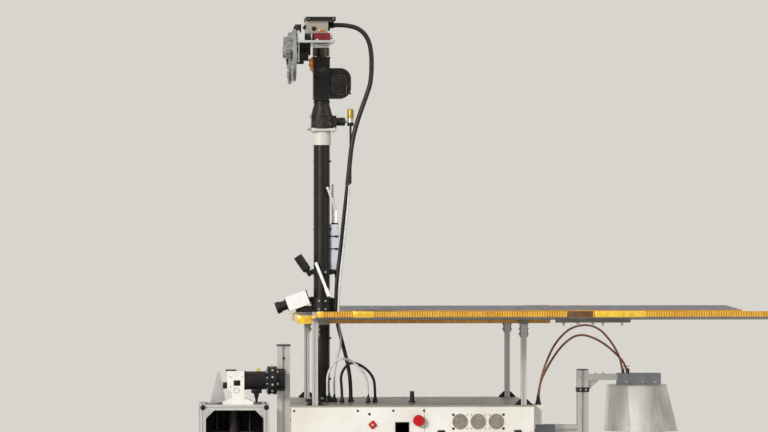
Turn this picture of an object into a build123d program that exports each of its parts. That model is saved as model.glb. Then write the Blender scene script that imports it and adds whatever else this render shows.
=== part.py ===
from build123d import *
import os
from math import cos, radians, sin, tan

# Planetary rover with a camera mast, a solar roof, a front drill and a rear radar.
# +X is forward, +Y is the rover's left and +Z is up. All lengths are in millimetres.
# The origin is on the ground under the middle of the whole rover.

os.makedirs("parts", exist_ok=True)

# Clearances
bearing_gap = 0.3
fit_gap = 0.3

# Body, a box of sandwich panels
body_front = 702.0
body_length = 877.0
body_width = 700.0
body_bottom = 400.0
body_height = 300.0
panel_wall = 10.0
deck_wall = 6.0
seam_inset = 481.0
seam_gap = 1.0
payload_place = 100.0
payload_grid = (200.0, 150.0)
payload_bore = 6.6
body_rear = body_front - body_length
body_middle = (body_front + body_rear) / 2
body_side = body_width / 2
deck_height = body_bottom + body_height
deck_under = deck_height - deck_wall
seam_place = body_front - seam_inset

# Side panels, with fans, stop button and cable opening
fan_hole = 57.0
fan_frame = 60.0
fan_corner = 5.0
fan_depth = 20.0
fan_hub = 24.0
fan_strut = 3.0
fan_inset = 610.0
fan_pitch = 65.6
fan_drop = 59.0
fan_blades = 7
fan_blade_wall = 2.0
fan_blade_angle = 35.0
fan_blade_chord = 14.0
fan_blade_gap = 1.5
cable_port = (51.0, 45.0)
cable_port_corner = 4.0
cable_port_inset = 400.0
cable_port_drop = 82.0
stop_inset = 459.0
stop_drop = 54.0
stop_head = 40.0
stop_head_height = 14.0
stop_stem = 26.0
stop_collar = 34.0
stop_collar_height = 5.0
stop_reach = 32.0
stop_head_taper = 12.0
rear_box_size = (40.0, 100.0, 70.0)
rear_box_inset = 100.0
rear_box_drop = 72.0
rear_box_round = 6.0
fan_places = [body_front - fan_inset - number * fan_pitch for number in range(3)]
fan_height = deck_height - fan_drop
port_place = (body_front - cable_port_inset, deck_height - cable_port_drop)
stop_place = (body_front - stop_inset, deck_height - stop_drop)
rear_box_offset = body_side - rear_box_inset
rear_box_base = deck_height - rear_box_drop

# Battery on the floor panel
battery_size = (320.0, 420.0, 150.0)
battery_place = 120.0
battery_round = 8.0

# Wheels, in three pairs
wheel_diameter = 290.0
wheel_width = 120.0
grouser_height = 7.0
grouser_wall = 4.0
grouser_count = 20
rim_wall = 3.5
flexure_count = 6
flexure_wall = 3.0
flexure_width = 70.0
flexure_bow = 26.0
hub_diameter = 96.0
hub_cap = 56.0
hub_cap_height = 12.0
hub_cap_taper = 15.0
weld_overlap = 1.0
wheel_rows = (825.0, 235.0, -335.0)
track_half = 520.0
wheel_radius = wheel_diameter / 2
rim_radius = wheel_radius - grouser_height
half_pitch = 180 / grouser_count
axle_height = wheel_radius * cos(radians(half_pitch)) + grouser_wall / 2 * sin(radians(half_pitch))

# Steered legs and their motors
leg_clearance = 6.0
leg_wall = 10.0
leg_width = 60.0
leg_eye = 72.0
leg_side_gap = 10.0
drive_motor = 56.0
drive_motor_length = 66.0
axle_diameter = 50.0
hub_inset = 18.0
steer_flange = 70.0
steer_motor = 70.0
steer_motor_height = 105.0
steer_cap = 46.0
steer_cap_height = 18.0
leg_top = wheel_diameter + leg_clearance + leg_wall
steer_base = leg_top + bearing_gap
leg_plane = track_half - wheel_width / 2 - leg_side_gap
axle_end = track_half - wheel_width / 2 + hub_inset

# Bogies that carry the wheels
bogie_beam_width = 40.0
bogie_end_rise = 30.0
bogie_end_height = 50.0
bogie_mid_height = 64.0
pivot_rise = 45.0
pivot_shaft = 50.0
pivot_flange = 110.0
pivot_flange_wall = 8.0
pivot_nut = 8.0
clamp_wall = 10.0
lightening_hole = 30.0
lightening_shares = (0.3, 0.5, 0.7)
bogie_end_base = steer_base + bogie_end_rise
bogie_end_top = bogie_end_base + bogie_end_height
pivot_height = body_bottom + pivot_rise
half_mid = bogie_mid_height / 2
clamp_bore = steer_motor / 2 + fit_gap
bogie_plane = track_half - steer_motor / 2 - bogie_beam_width / 2

# Solar roof: a middle panel and two long wings, on profile posts
roof_rise = 295.0
roof_wall = 27.0
roof_side_inset = 30.0
roof_front_inset = 26.0
roof_overhang = 61.0
post_size = 20.0
post_groove = 6.0
post_groove_depth = 5.5
front_post_inset = 87.0
rear_post_inset = 36.0
front_post_reach = 42.0
wing_wall = 19.0
wing_gap = 5.0
wing_width = 445.0
wing_length = 1656.5
wing_step = 12.0
left_wing_dihedral = 2.9
right_wing_dihedral = 0.9
wing_lead = 13.0
wing_post_gap = 2.0
mast_notch = 90.0
mast_notch_reach = 85.0
bracket_wall = 3.0
bracket_inner_reach = 55.0
bracket_outer_reach = 40.0
bracket_pad_gap = 8.0
bracket_length = 40.0
bracket_leg = 47.0
bracket_leg_wall = 4.0
splice_length = 266.0
splice_reach = 233.0
splice_inset = 175.0
splice_width = 46.0
splice_wall = 14.0
roof_base = deck_height + roof_rise
roof_top = roof_base + roof_wall
roof_half_width = body_side - roof_side_inset
roof_front = body_front - roof_front_inset
roof_rear = body_rear - roof_overhang
half_post = post_size / 2
post_offset = roof_half_width + half_post
front_post_place = body_front - front_post_inset
rear_post_place = body_rear + rear_post_inset
front_post_top = roof_base + front_post_reach
rear_post_top = roof_base - bracket_wall
wing_inner = roof_half_width + wing_gap
wing_outer = wing_inner + wing_width
wing_inner_base = roof_base + wing_step
wing_front = front_post_place + wing_lead
wing_notch_rear = front_post_place - half_post - wing_post_gap
wing_notch_side = post_offset + half_post + wing_post_gap
wing_rear = wing_front - wing_length
bracket_inner = post_offset - bracket_inner_reach
bracket_outer = post_offset + bracket_outer_reach
bracket_pad = roof_half_width + bracket_pad_gap
splice_place = rear_post_place - splice_reach
splice_offset = wing_inner + splice_inset

# Mast
mast_inset = 127.0
mast_length = 942.0
mast_diameter = 60.0
mast_wall = 5.0
mast_foot = 120.0
mast_foot_wall = 10.0
collar_diameter = 68.0
collar_height = 52.0
flange_size = 92.0
flange_corner = 8.0
flange_shift = 6.0
flange_wall = 9.0
pedestal_base = 105.0
pedestal_neck = 57.0
pedestal_height = 105.0
pedestal_edge = 10.5
pedestal_waist = 77.0
pedestal_neck_height = 16.0
pedestal_flat = 38.0
plug_diameter = 29.0
plug_rise = 25.0
plug_reach = 86.0
plug_box = 44.0
plug_box_reach = 53.0
mast_place = body_front - mast_inset
mast_top = deck_height + mast_length
mast_radius = mast_diameter / 2
collar_top = mast_top + collar_height
flange_top = collar_top + flange_wall
pedestal_top = flange_top + pedestal_height
plug_height = flange_top + plug_rise
mast_notch_rear = mast_place - mast_notch_reach

# Things clamped to the mast
clamp_ring = 78.0
clamp_height = 20.0
camera_clamp_height = 54.0
clamp_roof_gap = 6.0
camera_arm_width = 30.0
camera_arm_reach = 95.0
camera_arm_shoulder = 30.0
arm_bite = 2.0
box_camera_size = (80.0, 54.0, 54.0)
box_camera_corner = 3.0
box_camera_reach = 90.0
box_camera_rise = 42.0
box_camera_tilt = 20.0
box_camera_hood = 42.0
box_camera_hood_wall = 4.0
box_camera_hood_length = 42.0
box_camera_hood_depth = 16.0
spot_clamp_rise = 138.0
spot_arm = 12.0
spot_joint = 18.0
spot_joint_length = 22.0
spot_camera_diameter = 32.0
spot_camera_length = 62.0
spot_camera_round = 5.0
spot_camera_reach = 70.0
spot_camera_rise = 40.0
spot_camera_tilt = 55.4
radio_size = (32.0, 36.0, 164.0)
radio_round = 4.0
radio_offset = -18.0
aerial_spread = 8.0
thin_aerial = (36.0, 58.0, 135.0)
thin_aerial_diameter = 8.0
thin_aerial_socket = (12.0, 53.0)
thick_aerial = (2.0, 0.0, 147.0)
thick_aerial_diameter = 10.0
thick_aerial_socket = (13.0, 16.0)
thick_aerial_inset = 18.0
side_aerial_diameter = 11.0
side_aerial_socket = (15.0, 28.0)
side_aerial_upper = (24.0, 45.0)
side_aerial_lower = (-25.0, -78.0)
sensor_reach = 106.0
sensor_drop = 16.0
sensor_size = (24.0, 63.0)
sensor_round = 6.0
sensor_rod = 8.0
sensor_rod_length = 212.0
sensor_arm = 10.0
deck_aerial_place = (249.0, 100.0)
deck_aerial_diameter = 18.0
deck_aerial_height = 41.0
deck_aerial_foot = 26.0
deck_aerial_foot_wall = 5.0
deck_aerial_taper = 2.0
camera_arm_base = roof_top + clamp_roof_gap
spot_clamp_base = camera_arm_base + spot_clamp_rise
radio_base = spot_clamp_base + clamp_height + fit_gap
radio_top = radio_base + radio_size[2]
sensor_place = mast_place - sensor_reach
sensor_base = plug_height - sensor_drop

# Head, which pans about the mast and tilts about a cross axis
head_axis_lead = 2.6
head_rise = 110.0
column_size = (57.0, 90.0)
motor_length = 108.6
motor_width = 84.0
motor_base_gap = 4.0
motor_overtop = 6.0
motor_round = 40.0
motor_bite = 5.0
tilt_shaft = 26.0
yoke_gap = 6.0
yoke_wall = 6.0
yoke_radius = 30.0
yoke_plate_rise = 40.0
yoke_plate_size = (64.0, 6.0)
barrel_diameter = 62.0
barrel_height = 34.0
riser_size = (54.0, 90.0, 12.0)
riser_slot = (34.0, 6.0)
bench_wall = 8.0
bench_length = 135.0
bench_overhang = 37.6
bench_half_width = 262.0
bench_lip = 44.0
filter_diameter = 190.0
filter_wall = 12.0
filter_reach = 16.0
filter_drop = 45.0
filter_inset = 72.0
filter_axle = 40.0
hanger_width = 76.0
hanger_wall = 4.0
lens_ring = 50.0
lens_ring_length = 22.0
lens_bore = 30.0
lens_place = (-65.0, 25.0)
small_ring = 33.0
small_ring_length = 16.0
small_bore = 20.0
small_place = (22.0, 66.0)
lens_glass_depth = 4.0
camera_body = (56.0, 44.0)
filter_motor_length = 34.0
center_camera_size = (59.0, 44.0, 30.0)
center_camera_round = 3.0
center_camera_offset = 150.0
center_camera_inset = 12.0
center_lens = 26.0
center_lens_length = 33.0
sight_camera_size = (22.0, 26.0, 29.0)
sight_camera_offset = 45.0
sight_lens = 14.0
sight_lens_length = 5.0
head_box_size = (80.0, 150.0, 44.0)
head_box_inset = 15.0
head_box_legs = 33.0
head_box_leg = 14.0
head_box_leg_inset = 8.0
conduit_gland = 26.0
conduit_gland_length = 22.0
conduit_gland_offset = 42.0
conduit_gland_drop = 14.0
top_frame_size = (108.0, 190.0, 15.0)
top_frame_overhang = 12.0
top_frame_wall = 3.0
head_axis_place = mast_place + head_axis_lead
head_axis_height = pedestal_top + head_rise
motor_rear = head_axis_place - motor_length
motor_base = pedestal_top + motor_base_gap
motor_top = head_axis_height + motor_overtop
yoke_inner = column_size[1] / 2 + yoke_gap
yoke_outer = yoke_inner + yoke_wall
yoke_plate_base = head_axis_height + yoke_plate_rise
plate_top = yoke_plate_base + yoke_plate_size[1]
bench_base = plate_top + barrel_height + riser_size[2]
bench_top = bench_base + bench_wall
bench_lip_top = bench_base + bench_lip
bench_rear = head_axis_place - bench_overhang
bench_front = bench_rear + bench_length
filter_face = bench_front + filter_reach
filter_height = bench_base - filter_drop
filter_offset = bench_half_width - filter_inset
center_camera_rear = bench_rear + center_camera_inset
head_box_rear = bench_rear + head_box_inset
head_box_base = bench_top + head_box_legs
top_frame_rear = bench_rear - top_frame_overhang
top_frame_base = head_box_base + head_box_size[2]
gland_height = top_frame_base - conduit_gland_drop

# Drill, which slides down a rail and turns about its own motor
rail_inset = 120.0
rail_size = 45.0
rail_groove = 10.0
rail_groove_depth = 13.0
rail_length = 481.0
rail_over_axis = 121.0
rail_cap = 50.0
rail_cap_wall = 6.0
drill_axis_rise = 90.0
drill_axis_reach = 70.0
carriage_wall = 12.0
carriage_height = 80.0
carriage_gap = 21.0
carriage_block = 56.0
hub_neck = 72.0
motor_flange = 100.0
motor_flange_start = 50.0
motor_flange_wall = 34.0
turn_motor = 66.0
turn_motor_length = 84.0
yoke_head = (61.0, 70.0, 70.0)
yoke_stem = 45.0
yoke_shoulder = 8.0
yoke_shoulder_drop = 14.0
yoke_window = (24.0, 20.0)
yoke_window_place = (26.0, -8.0)
yoke_foot_length = 109.0
yoke_foot_wall = 10.0
yoke_foot_flare = 14.0
yoke_foot_reach = 77.0
frame_profile = 20.0
frame_groove = 5.0
frame_groove_depth = 5.5
frame_size = (248.0, 250.0, 420.0)
frame_reach = 158.5
frame_side_reach = 40.0
frame_drop = 86.0
frame_gusset = 30.0
frame_gusset_wall = 16.0
case_wall = 3.0
case_cut = 12.0
spindle_inset = 70.0
spindle_plate = (150.0, 40.0, 12.0)
spindle_plate_drop = 80.0
spindle_rod_offset = 60.0
drill_motor = 60.0
drill_motor_length = 110.0
drill_tube = 34.0
drill_tube_gap = 8.0
drill_tip_rise = 4.0
drill_tip_height = 22.0
drill_tip_taper = 35.0
drill_rod = 14.0
rail_offset = body_side - rail_inset
rail_x = body_front + rail_size / 2
rail_face = rail_offset + rail_size / 2
drill_axis_height = deck_height + drill_axis_rise
drill_axis_offset = rail_offset + drill_axis_reach
rail_top = drill_axis_height + rail_over_axis
rail_base = rail_top - rail_length
flange_start = body_front + motor_flange_start
flange_end = flange_start + motor_flange_wall
turn_motor_end = flange_end + turn_motor_length
yoke_rear = turn_motor_end + bearing_gap
yoke_foot_front = turn_motor_end + yoke_foot_reach
frame_front = turn_motor_end + frame_reach
frame_rear = frame_front - frame_size[0]
frame_left = drill_axis_offset + frame_side_reach
frame_right = frame_left - frame_size[1]
frame_top = drill_axis_height - frame_drop
frame_low = frame_top - frame_size[2]
half_profile = frame_profile / 2

# Radar behind the body
radar_offset = 150.0
radar_beam = 40.0
radar_groove = 10.0
radar_groove_depth = 12.0
radar_beam_drop = 120.0
radar_post_reach = 177.0
radar_post_tail = 20.0
radar_post_length = 259.0
radar_band = (44.0, 17.0)
radar_band_rise = 179.0
radar_arm_drop = 37.0
radar_arm_height = 22.0
radar_arm_reach = 147.0
radar_gusset = 40.0
radar_gusset_wall = 8.0
radar_bracket_length = 158.0
radar_bracket_width = 60.0
radar_bracket_wall = 10.0
radar_bracket_overtop = 3.0
radar_bracket_back = 8.0
radar_bracket_floor = 6.0
horn_drop = 17.0
horn_height = 167.0
horn_top_size = 209.0
horn_bottom_size = 258.0
horn_top_reach = 71.5
horn_bottom_reach = 88.0
horn_wall = 3.0
horn_sides = 8
horn_turn = 180.0 / horn_sides
radar_beam_base = deck_height - radar_beam_drop
radar_post_front = body_rear - radar_post_reach
radar_post_rear = radar_post_front - radar_beam
radar_post_base = radar_beam_base - radar_post_tail
radar_post_top = radar_post_base + radar_post_length
radar_arm_base = radar_post_top - radar_arm_drop
radar_arm_end = radar_post_front - radar_arm_reach
radar_bracket_end = radar_arm_end - radar_bracket_length
radar_bracket_top = radar_arm_base + radar_arm_height + radar_bracket_overtop
horn_top = radar_arm_base - horn_drop
horn_bottom = horn_top - horn_height
horn_top_place = radar_arm_end - horn_top_reach
horn_bottom_place = radar_arm_end - horn_bottom_reach

left, right = 1, -1
wing_dihedrals = {left: left_wing_dihedral, right: right_wing_dihedral}


def save(builder, name):
    """Label a finished piece and write it to its own file."""
    builder.part.label = name
    export_step(builder.part, f"parts/{name}.step")


def wing_under(offset, side):
    """Height of one side's wing underside at a distance from the middle plane."""
    return wing_inner_base + (offset - wing_inner) * tan(radians(wing_dihedrals[side]))


def profile_sketch(size, groove, depth):
    """Section of a slotted aluminium profile, drawn in the current sketch."""
    Rectangle(size, size)
    with PolarLocations(size / 2 - depth / 2, 4):
        Rectangle(depth, groove, mode=Mode.SUBTRACT)


def bar(start, end, size, groove, depth):
    """Slotted profile from one point to another, in the current part."""
    start, end = Vector(*start), Vector(*end)
    run = end - start
    across = Vector(0, 1, 0) if abs(run.Y) < 0.5 * run.length else Vector(1, 0, 0)
    with BuildSketch(Plane(origin=start, x_dir=across, z_dir=run)) as section:
        profile_sketch(size, groove, depth)
    extrude(to_extrude=section.sketch, amount=run.length)


def lightening_places(middle, ends, up):
    """Centres of the holes in a bogie beam, from its middle out to each end."""
    places = []
    for share in lightening_shares:
        low = pivot_height - half_mid + (bogie_end_base - pivot_height + half_mid) * share
        high = pivot_height + half_mid + (bogie_end_top - pivot_height - half_mid) * share
        for end in ends:
            places.append((middle + (end - middle) * share, up * (low + high) / 2))
    return places


# Body panels

with BuildPart() as floor_panel:
    with Locations((body_middle, 0, body_bottom)):
        Box(
            body_length - 2 * panel_wall,
            body_width - 2 * panel_wall,
            panel_wall,
            align=(Align.CENTER, Align.CENTER, Align.MIN),
        )
save(floor_panel, "floor_panel")

with BuildPart() as end_panels:
    for face, side in ((body_front, Align.MAX), (body_rear, Align.MIN)):
        with Locations((face, 0, body_bottom)):
            Box(
                panel_wall,
                body_width - 2 * panel_wall,
                deck_under - body_bottom,
                align=(side, Align.CENTER, Align.MIN),
            )
    with Locations((body_rear, rear_box_offset, rear_box_base)):
        Box(*rear_box_size, align=(Align.MAX, Align.CENTER, Align.MIN))
    fillet(end_panels.edges().filter_by(Axis.Y).sort_by(Axis.X)[0:2], rear_box_round)
save(end_panels, "end_panels")

side_height = deck_under - body_bottom
side_middle = (deck_under + body_bottom) / 2
with BuildPart() as side_panels:
    for side in (left, right):
        panel_plane = Plane(origin=(0, side * body_side, 0), x_dir=(1, 0, 0), z_dir=(0, side, 0))
        up = side * -1
        for start, end in ((body_rear, seam_place - seam_gap / 2), (seam_place + seam_gap / 2, body_front)):
            with BuildSketch(panel_plane):
                with Locations(((start + end) / 2, up * side_middle)):
                    Rectangle(end - start, side_height)
            extrude(amount=-panel_wall)
        with BuildSketch(panel_plane):
            with Locations(*[(place, up * fan_height) for place in fan_places]):
                Circle(fan_hole / 2)
            with Locations((stop_place[0], up * stop_place[1])):
                Circle(stop_stem / 2 + fit_gap)
        extrude(amount=-panel_wall, mode=Mode.SUBTRACT)
    with BuildSketch(Plane(origin=(0, body_side, 0), x_dir=(1, 0, 0), z_dir=(0, 1, 0))):
        with Locations((port_place[0], -port_place[1])):
            RectangleRounded(*cable_port, cable_port_corner)
    extrude(amount=-panel_wall, mode=Mode.SUBTRACT)
save(side_panels, "side_panels")

with BuildPart() as deck_plate:
    with Locations((body_middle, 0, deck_under)):
        Box(body_length, body_width, deck_wall, align=(Align.CENTER, Align.CENTER, Align.MIN))
    with Locations((payload_place, 0, deck_height)):
        with GridLocations(*payload_grid, 2, 2):
            Hole(payload_bore / 2)
save(deck_plate, "deck_plate")

with BuildPart() as battery:
    with Locations((battery_place, 0, body_bottom + panel_wall)):
        Box(*battery_size, align=(Align.CENTER, Align.CENTER, Align.MIN))
    fillet(battery.edges().filter_by(Axis.Z), battery_round)
save(battery, "battery")

# Cooling fans behind the round holes, and the two stop buttons

with BuildPart() as fans:
    for side in (left, right):
        face = side * (body_side - panel_wall)
        for place in fan_places:
            fan_plane = Plane(origin=(place, face, fan_height), x_dir=(1, 0, 0), z_dir=(0, -side, 0))
            with BuildSketch(fan_plane):
                RectangleRounded(fan_frame, fan_frame, fan_corner)
                Circle(fan_hole / 2, mode=Mode.SUBTRACT)
                Circle(fan_hub / 2)
                with PolarLocations(fan_hub / 4 + fan_hole / 4, 4, start_angle=45):
                    Rectangle(fan_hole / 2 - fan_hub / 2 + 2 * weld_overlap, fan_strut)
            extrude(amount=fan_strut)
            with BuildSketch(fan_plane):
                RectangleRounded(fan_frame, fan_frame, fan_corner)
                Circle(fan_hole / 2, mode=Mode.SUBTRACT)
                Circle(fan_hub / 2)
            extrude(amount=fan_depth)
            blade_root = fan_hub / 2 - weld_overlap
            blade_tip = fan_hole / 2 - fan_blade_gap
            with Locations(fan_plane.offset((fan_depth + fan_strut) / 2)):
                with PolarLocations((blade_root + blade_tip) / 2, fan_blades):
                    Box(
                        blade_tip - blade_root,
                        fan_blade_chord,
                        fan_blade_wall,
                        rotation=(fan_blade_angle, 0, 0),
                    )
save(fans, "fans")

with BuildPart() as stop_buttons:
    for side in (left, right):
        button_plane = Plane(
            origin=(stop_place[0], side * (body_side - panel_wall), stop_place[1]),
            x_dir=(1, 0, 0),
            z_dir=(0, side, 0),
        )
        with BuildSketch(button_plane):
            Circle(stop_stem / 2)
        extrude(amount=panel_wall + stop_reach - stop_head_height)
        with BuildSketch(button_plane.offset(panel_wall)):
            Circle(stop_collar / 2)
        extrude(amount=stop_collar_height)
        with BuildSketch(button_plane.offset(panel_wall + stop_reach - stop_head_height)):
            Circle(stop_head / 2)
        extrude(amount=stop_head_height, taper=stop_head_taper)
save(stop_buttons, "stop_buttons")

# Wheels: a hoop with grousers, curved leaf springs and a hub drum

for row_name, row in zip(("front", "middle", "rear"), wheel_rows):
    for side_name, side in (("left", left), ("right", right)):
        wheel_plane = Plane(origin=(row, side * track_half, axle_height), x_dir=(1, 0, 0), z_dir=(0, side, 0))
        hub_face = axle_end + bearing_gap - track_half
        with BuildPart() as wheel:
            with BuildSketch(wheel_plane.offset(-wheel_width / 2)):
                Circle(rim_radius)
                with PolarLocations(
                    rim_radius + grouser_height / 2 - weld_overlap, grouser_count, start_angle=half_pitch
                ):
                    Rectangle(grouser_height + 2 * weld_overlap, grouser_wall)
                Circle(rim_radius - rim_wall, mode=Mode.SUBTRACT)
            extrude(amount=wheel_width)
            inner = hub_diameter / 2 - weld_overlap
            outer = rim_radius - rim_wall + weld_overlap
            for number in range(flexure_count):
                angle = radians(number * 360 / flexure_count)
                spring_plane = Plane(
                    origin=wheel_plane.origin, x_dir=(cos(angle), 0, sin(angle)), z_dir=wheel_plane.z_dir
                )
                with BuildSketch(spring_plane.offset(-flexure_width / 2)):
                    with BuildLine():
                        middle = (inner + outer) / 2
                        lower = ThreePointArc((inner, 0), (middle, flexure_bow), (outer, 0))
                        upper = ThreePointArc(
                            (inner, flexure_wall), (middle, flexure_bow + flexure_wall), (outer, flexure_wall)
                        )
                        Line(lower @ 0, upper @ 0)
                        Line(lower @ 1, upper @ 1)
                    make_face()
                extrude(amount=flexure_width)
            with BuildSketch(wheel_plane.offset(hub_face)):
                Circle(hub_diameter / 2)
            extrude(amount=flexure_width / 2 - hub_face)
            with BuildSketch(wheel_plane.offset(flexure_width / 2)):
                Circle(hub_cap / 2)
            extrude(amount=hub_cap_height, taper=hub_cap_taper)
        save(wheel, f"wheel_{row_name}_{side_name}")

        leg_side = Plane(origin=(row, side * leg_plane, axle_height), x_dir=(1, 0, 0), z_dir=(0, -side, 0))
        up = side
        with BuildPart() as leg:
            with BuildSketch(leg_side):
                Circle(leg_eye / 2)
                with Locations((0, up * (leg_top - axle_height) / 2)):
                    Rectangle(leg_width, leg_top - axle_height)
            extrude(amount=leg_wall)
            with BuildSketch(Plane.XY.offset(leg_top - leg_wall)):
                with Locations((row, side * (leg_plane - leg_wall + track_half) / 2)):
                    Rectangle(leg_width, track_half - leg_plane + leg_wall)
                with Locations((row, side * track_half)):
                    Circle(steer_flange / 2)
            extrude(amount=leg_wall)
            with BuildSketch(leg_side.offset(leg_wall)):
                Circle(drive_motor / 2)
            extrude(amount=drive_motor_length - leg_wall)
            with BuildSketch(leg_side):
                Circle(axle_diameter / 2)
            extrude(amount=leg_plane - axle_end)
        save(leg, f"leg_{row_name}_{side_name}")

with BuildPart() as steering_motors:
    for row in wheel_rows:
        for side in (left, right):
            with BuildSketch(Plane.XY.offset(steer_base)):
                with Locations((row, side * track_half)):
                    Circle(steer_motor / 2)
            extrude(amount=steer_motor_height)
            with BuildSketch(Plane.XY.offset(steer_base + steer_motor_height)):
                with Locations((row, side * track_half)):
                    Circle(steer_cap / 2)
            extrude(amount=steer_cap_height)
save(steering_motors, "steering_motors")

# Side bogies: a shallow inverted V beam between two steering motors

pivot_place = (wheel_rows[0] + wheel_rows[1]) / 2
with BuildPart() as side_bogies:
    for side in (left, right):
        beam_plane = Plane(
            origin=(0, side * (bogie_plane - bogie_beam_width / 2), 0), x_dir=(1, 0, 0), z_dir=(0, side, 0)
        )
        up = -side
        with BuildSketch(beam_plane):
            with BuildLine():
                Polyline(
                    (wheel_rows[0], up * bogie_end_base),
                    (wheel_rows[0], up * bogie_end_top),
                    (pivot_place + half_mid, up * (pivot_height + half_mid)),
                    (pivot_place - half_mid, up * (pivot_height + half_mid)),
                    (wheel_rows[1], up * bogie_end_top),
                    (wheel_rows[1], up * bogie_end_base),
                    (pivot_place, up * (pivot_height - half_mid)),
                    close=True,
                )
            make_face()
            with Locations(*lightening_places(pivot_place, wheel_rows[0:2], up)):
                Circle(lightening_hole / 2, mode=Mode.SUBTRACT)
        extrude(amount=bogie_beam_width)
        with BuildSketch(Plane.XY.offset(bogie_end_base)):
            for row in wheel_rows[0:2]:
                with Locations((row, side * track_half)):
                    Circle(clamp_bore + clamp_wall)
        extrude(amount=bogie_end_height)
        with BuildSketch(Plane.XY.offset(bogie_end_base)):
            for row in wheel_rows[0:2]:
                with Locations((row, side * track_half)):
                    Circle(clamp_bore)
        extrude(amount=bogie_end_height, mode=Mode.SUBTRACT)
        pivot_plane = Plane(
            origin=(pivot_place, side * body_side, pivot_height), x_dir=(1, 0, 0), z_dir=(0, side, 0)
        )
        with BuildSketch(pivot_plane):
            Circle(pivot_flange / 2)
        extrude(amount=pivot_flange_wall)
        with BuildSketch(pivot_plane):
            Circle(pivot_shaft / 2)
        extrude(amount=bogie_plane + bogie_beam_width / 2 + pivot_nut - body_side)
save(side_bogies, "side_bogies")

# Rear bogie: a cross beam behind the body on a fore and aft pivot

with BuildPart() as rear_bogie:
    beam_end = track_half - steer_motor / 2
    beam_rear = wheel_rows[2] - bogie_beam_width / 2
    with BuildSketch(Plane(origin=(beam_rear, 0, 0), x_dir=(0, 1, 0), z_dir=(1, 0, 0))):
        with BuildLine():
            Polyline(
                (beam_end, bogie_end_base),
                (beam_end, bogie_end_top),
                (half_mid, pivot_height + half_mid),
                (-half_mid, pivot_height + half_mid),
                (-beam_end, bogie_end_top),
                (-beam_end, bogie_end_base),
                (0, pivot_height - half_mid),
                close=True,
            )
        make_face()
        with Locations(*lightening_places(0, (beam_end, -beam_end), 1)):
            Circle(lightening_hole / 2, mode=Mode.SUBTRACT)
    extrude(amount=bogie_beam_width)
    with BuildSketch(Plane.XY.offset(bogie_end_base)):
        with Locations((wheel_rows[2], track_half), (wheel_rows[2], -track_half)):
            Circle(clamp_bore + clamp_wall)
    extrude(amount=bogie_end_height)
    with BuildSketch(Plane.XY.offset(bogie_end_base)):
        with Locations((wheel_rows[2], track_half), (wheel_rows[2], -track_half)):
            Circle(clamp_bore)
    extrude(amount=bogie_end_height, mode=Mode.SUBTRACT)
    rear_pivot = Plane(origin=(body_rear, 0, pivot_height), x_dir=(0, 1, 0), z_dir=(-1, 0, 0))
    with BuildSketch(rear_pivot):
        Circle(pivot_flange / 2)
    extrude(amount=pivot_flange_wall)
    with BuildSketch(rear_pivot):
        Circle(pivot_shaft / 2)
    extrude(amount=body_rear - wheel_rows[2] + bogie_beam_width / 2 + pivot_nut)
save(rear_bogie, "rear_bogie")

# Posts and brackets of the solar roof

with BuildPart() as panel_posts:
    for side in (left, right):
        for place, top in ((front_post_place, front_post_top), (rear_post_place, rear_post_top)):
            bar(
                (place, side * post_offset, deck_height),
                (place, side * post_offset, top),
                post_size,
                post_groove,
                post_groove_depth,
            )
save(panel_posts, "panel_posts")

with BuildPart() as panel_brackets:
    for side in (left, right):
        for start, length in (
            (front_post_place - half_post - bracket_length, bracket_length),
            (rear_post_place - half_post - bracket_leg_wall, post_size + 2 * bracket_leg_wall),
        ):
            with BuildSketch(Plane(origin=(start, 0, 0), x_dir=(0, 1, 0), z_dir=(1, 0, 0))):
                with BuildLine():
                    Polyline(
                        (side * bracket_inner, rear_post_top),
                        (side * bracket_outer, rear_post_top),
                        (side * bracket_outer, wing_under(bracket_outer, side)),
                        (side * bracket_pad, wing_under(bracket_pad, side)),
                        (side * bracket_pad, roof_base),
                        (side * bracket_inner, roof_base),
                        close=True,
                    )
                make_face()
            extrude(amount=length)
        for face, grow in (
            (front_post_place - half_post, Align.MAX),
            (rear_post_place - half_post, Align.MAX),
            (rear_post_place + half_post, Align.MIN),
        ):
            with Locations((face, side * post_offset, rear_post_top)):
                Box(bracket_leg_wall, post_size, bracket_leg, align=(grow, Align.CENTER, Align.MAX))
        splice_rear = splice_place - splice_length / 2
        with BuildSketch(Plane(origin=(splice_rear, 0, 0), x_dir=(0, 1, 0), z_dir=(1, 0, 0))):
            with BuildLine():
                inner, outer = splice_offset - splice_width / 2, splice_offset + splice_width / 2
                Polyline(
                    (side * inner, wing_under(inner, side)),
                    (side * outer, wing_under(outer, side)),
                    (side * outer, wing_under(outer, side) - splice_wall),
                    (side * inner, wing_under(inner, side) - splice_wall),
                    close=True,
                )
            make_face()
        extrude(amount=splice_length)
save(panel_brackets, "panel_brackets")

with BuildPart() as center_panel:
    with BuildSketch(Plane.XY.offset(roof_base)):
        with Locations(((roof_front + roof_rear) / 2, 0)):
            Rectangle(roof_front - roof_rear, 2 * roof_half_width)
        with Locations((mast_notch_rear + mast_notch / 2, 0)):
            Circle(mast_notch / 2, mode=Mode.SUBTRACT)
            Rectangle(
                roof_front - mast_notch_rear, mast_notch, align=(Align.MIN, Align.CENTER), mode=Mode.SUBTRACT
            )
    extrude(amount=roof_wall)
save(center_panel, "center_panel")

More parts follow.
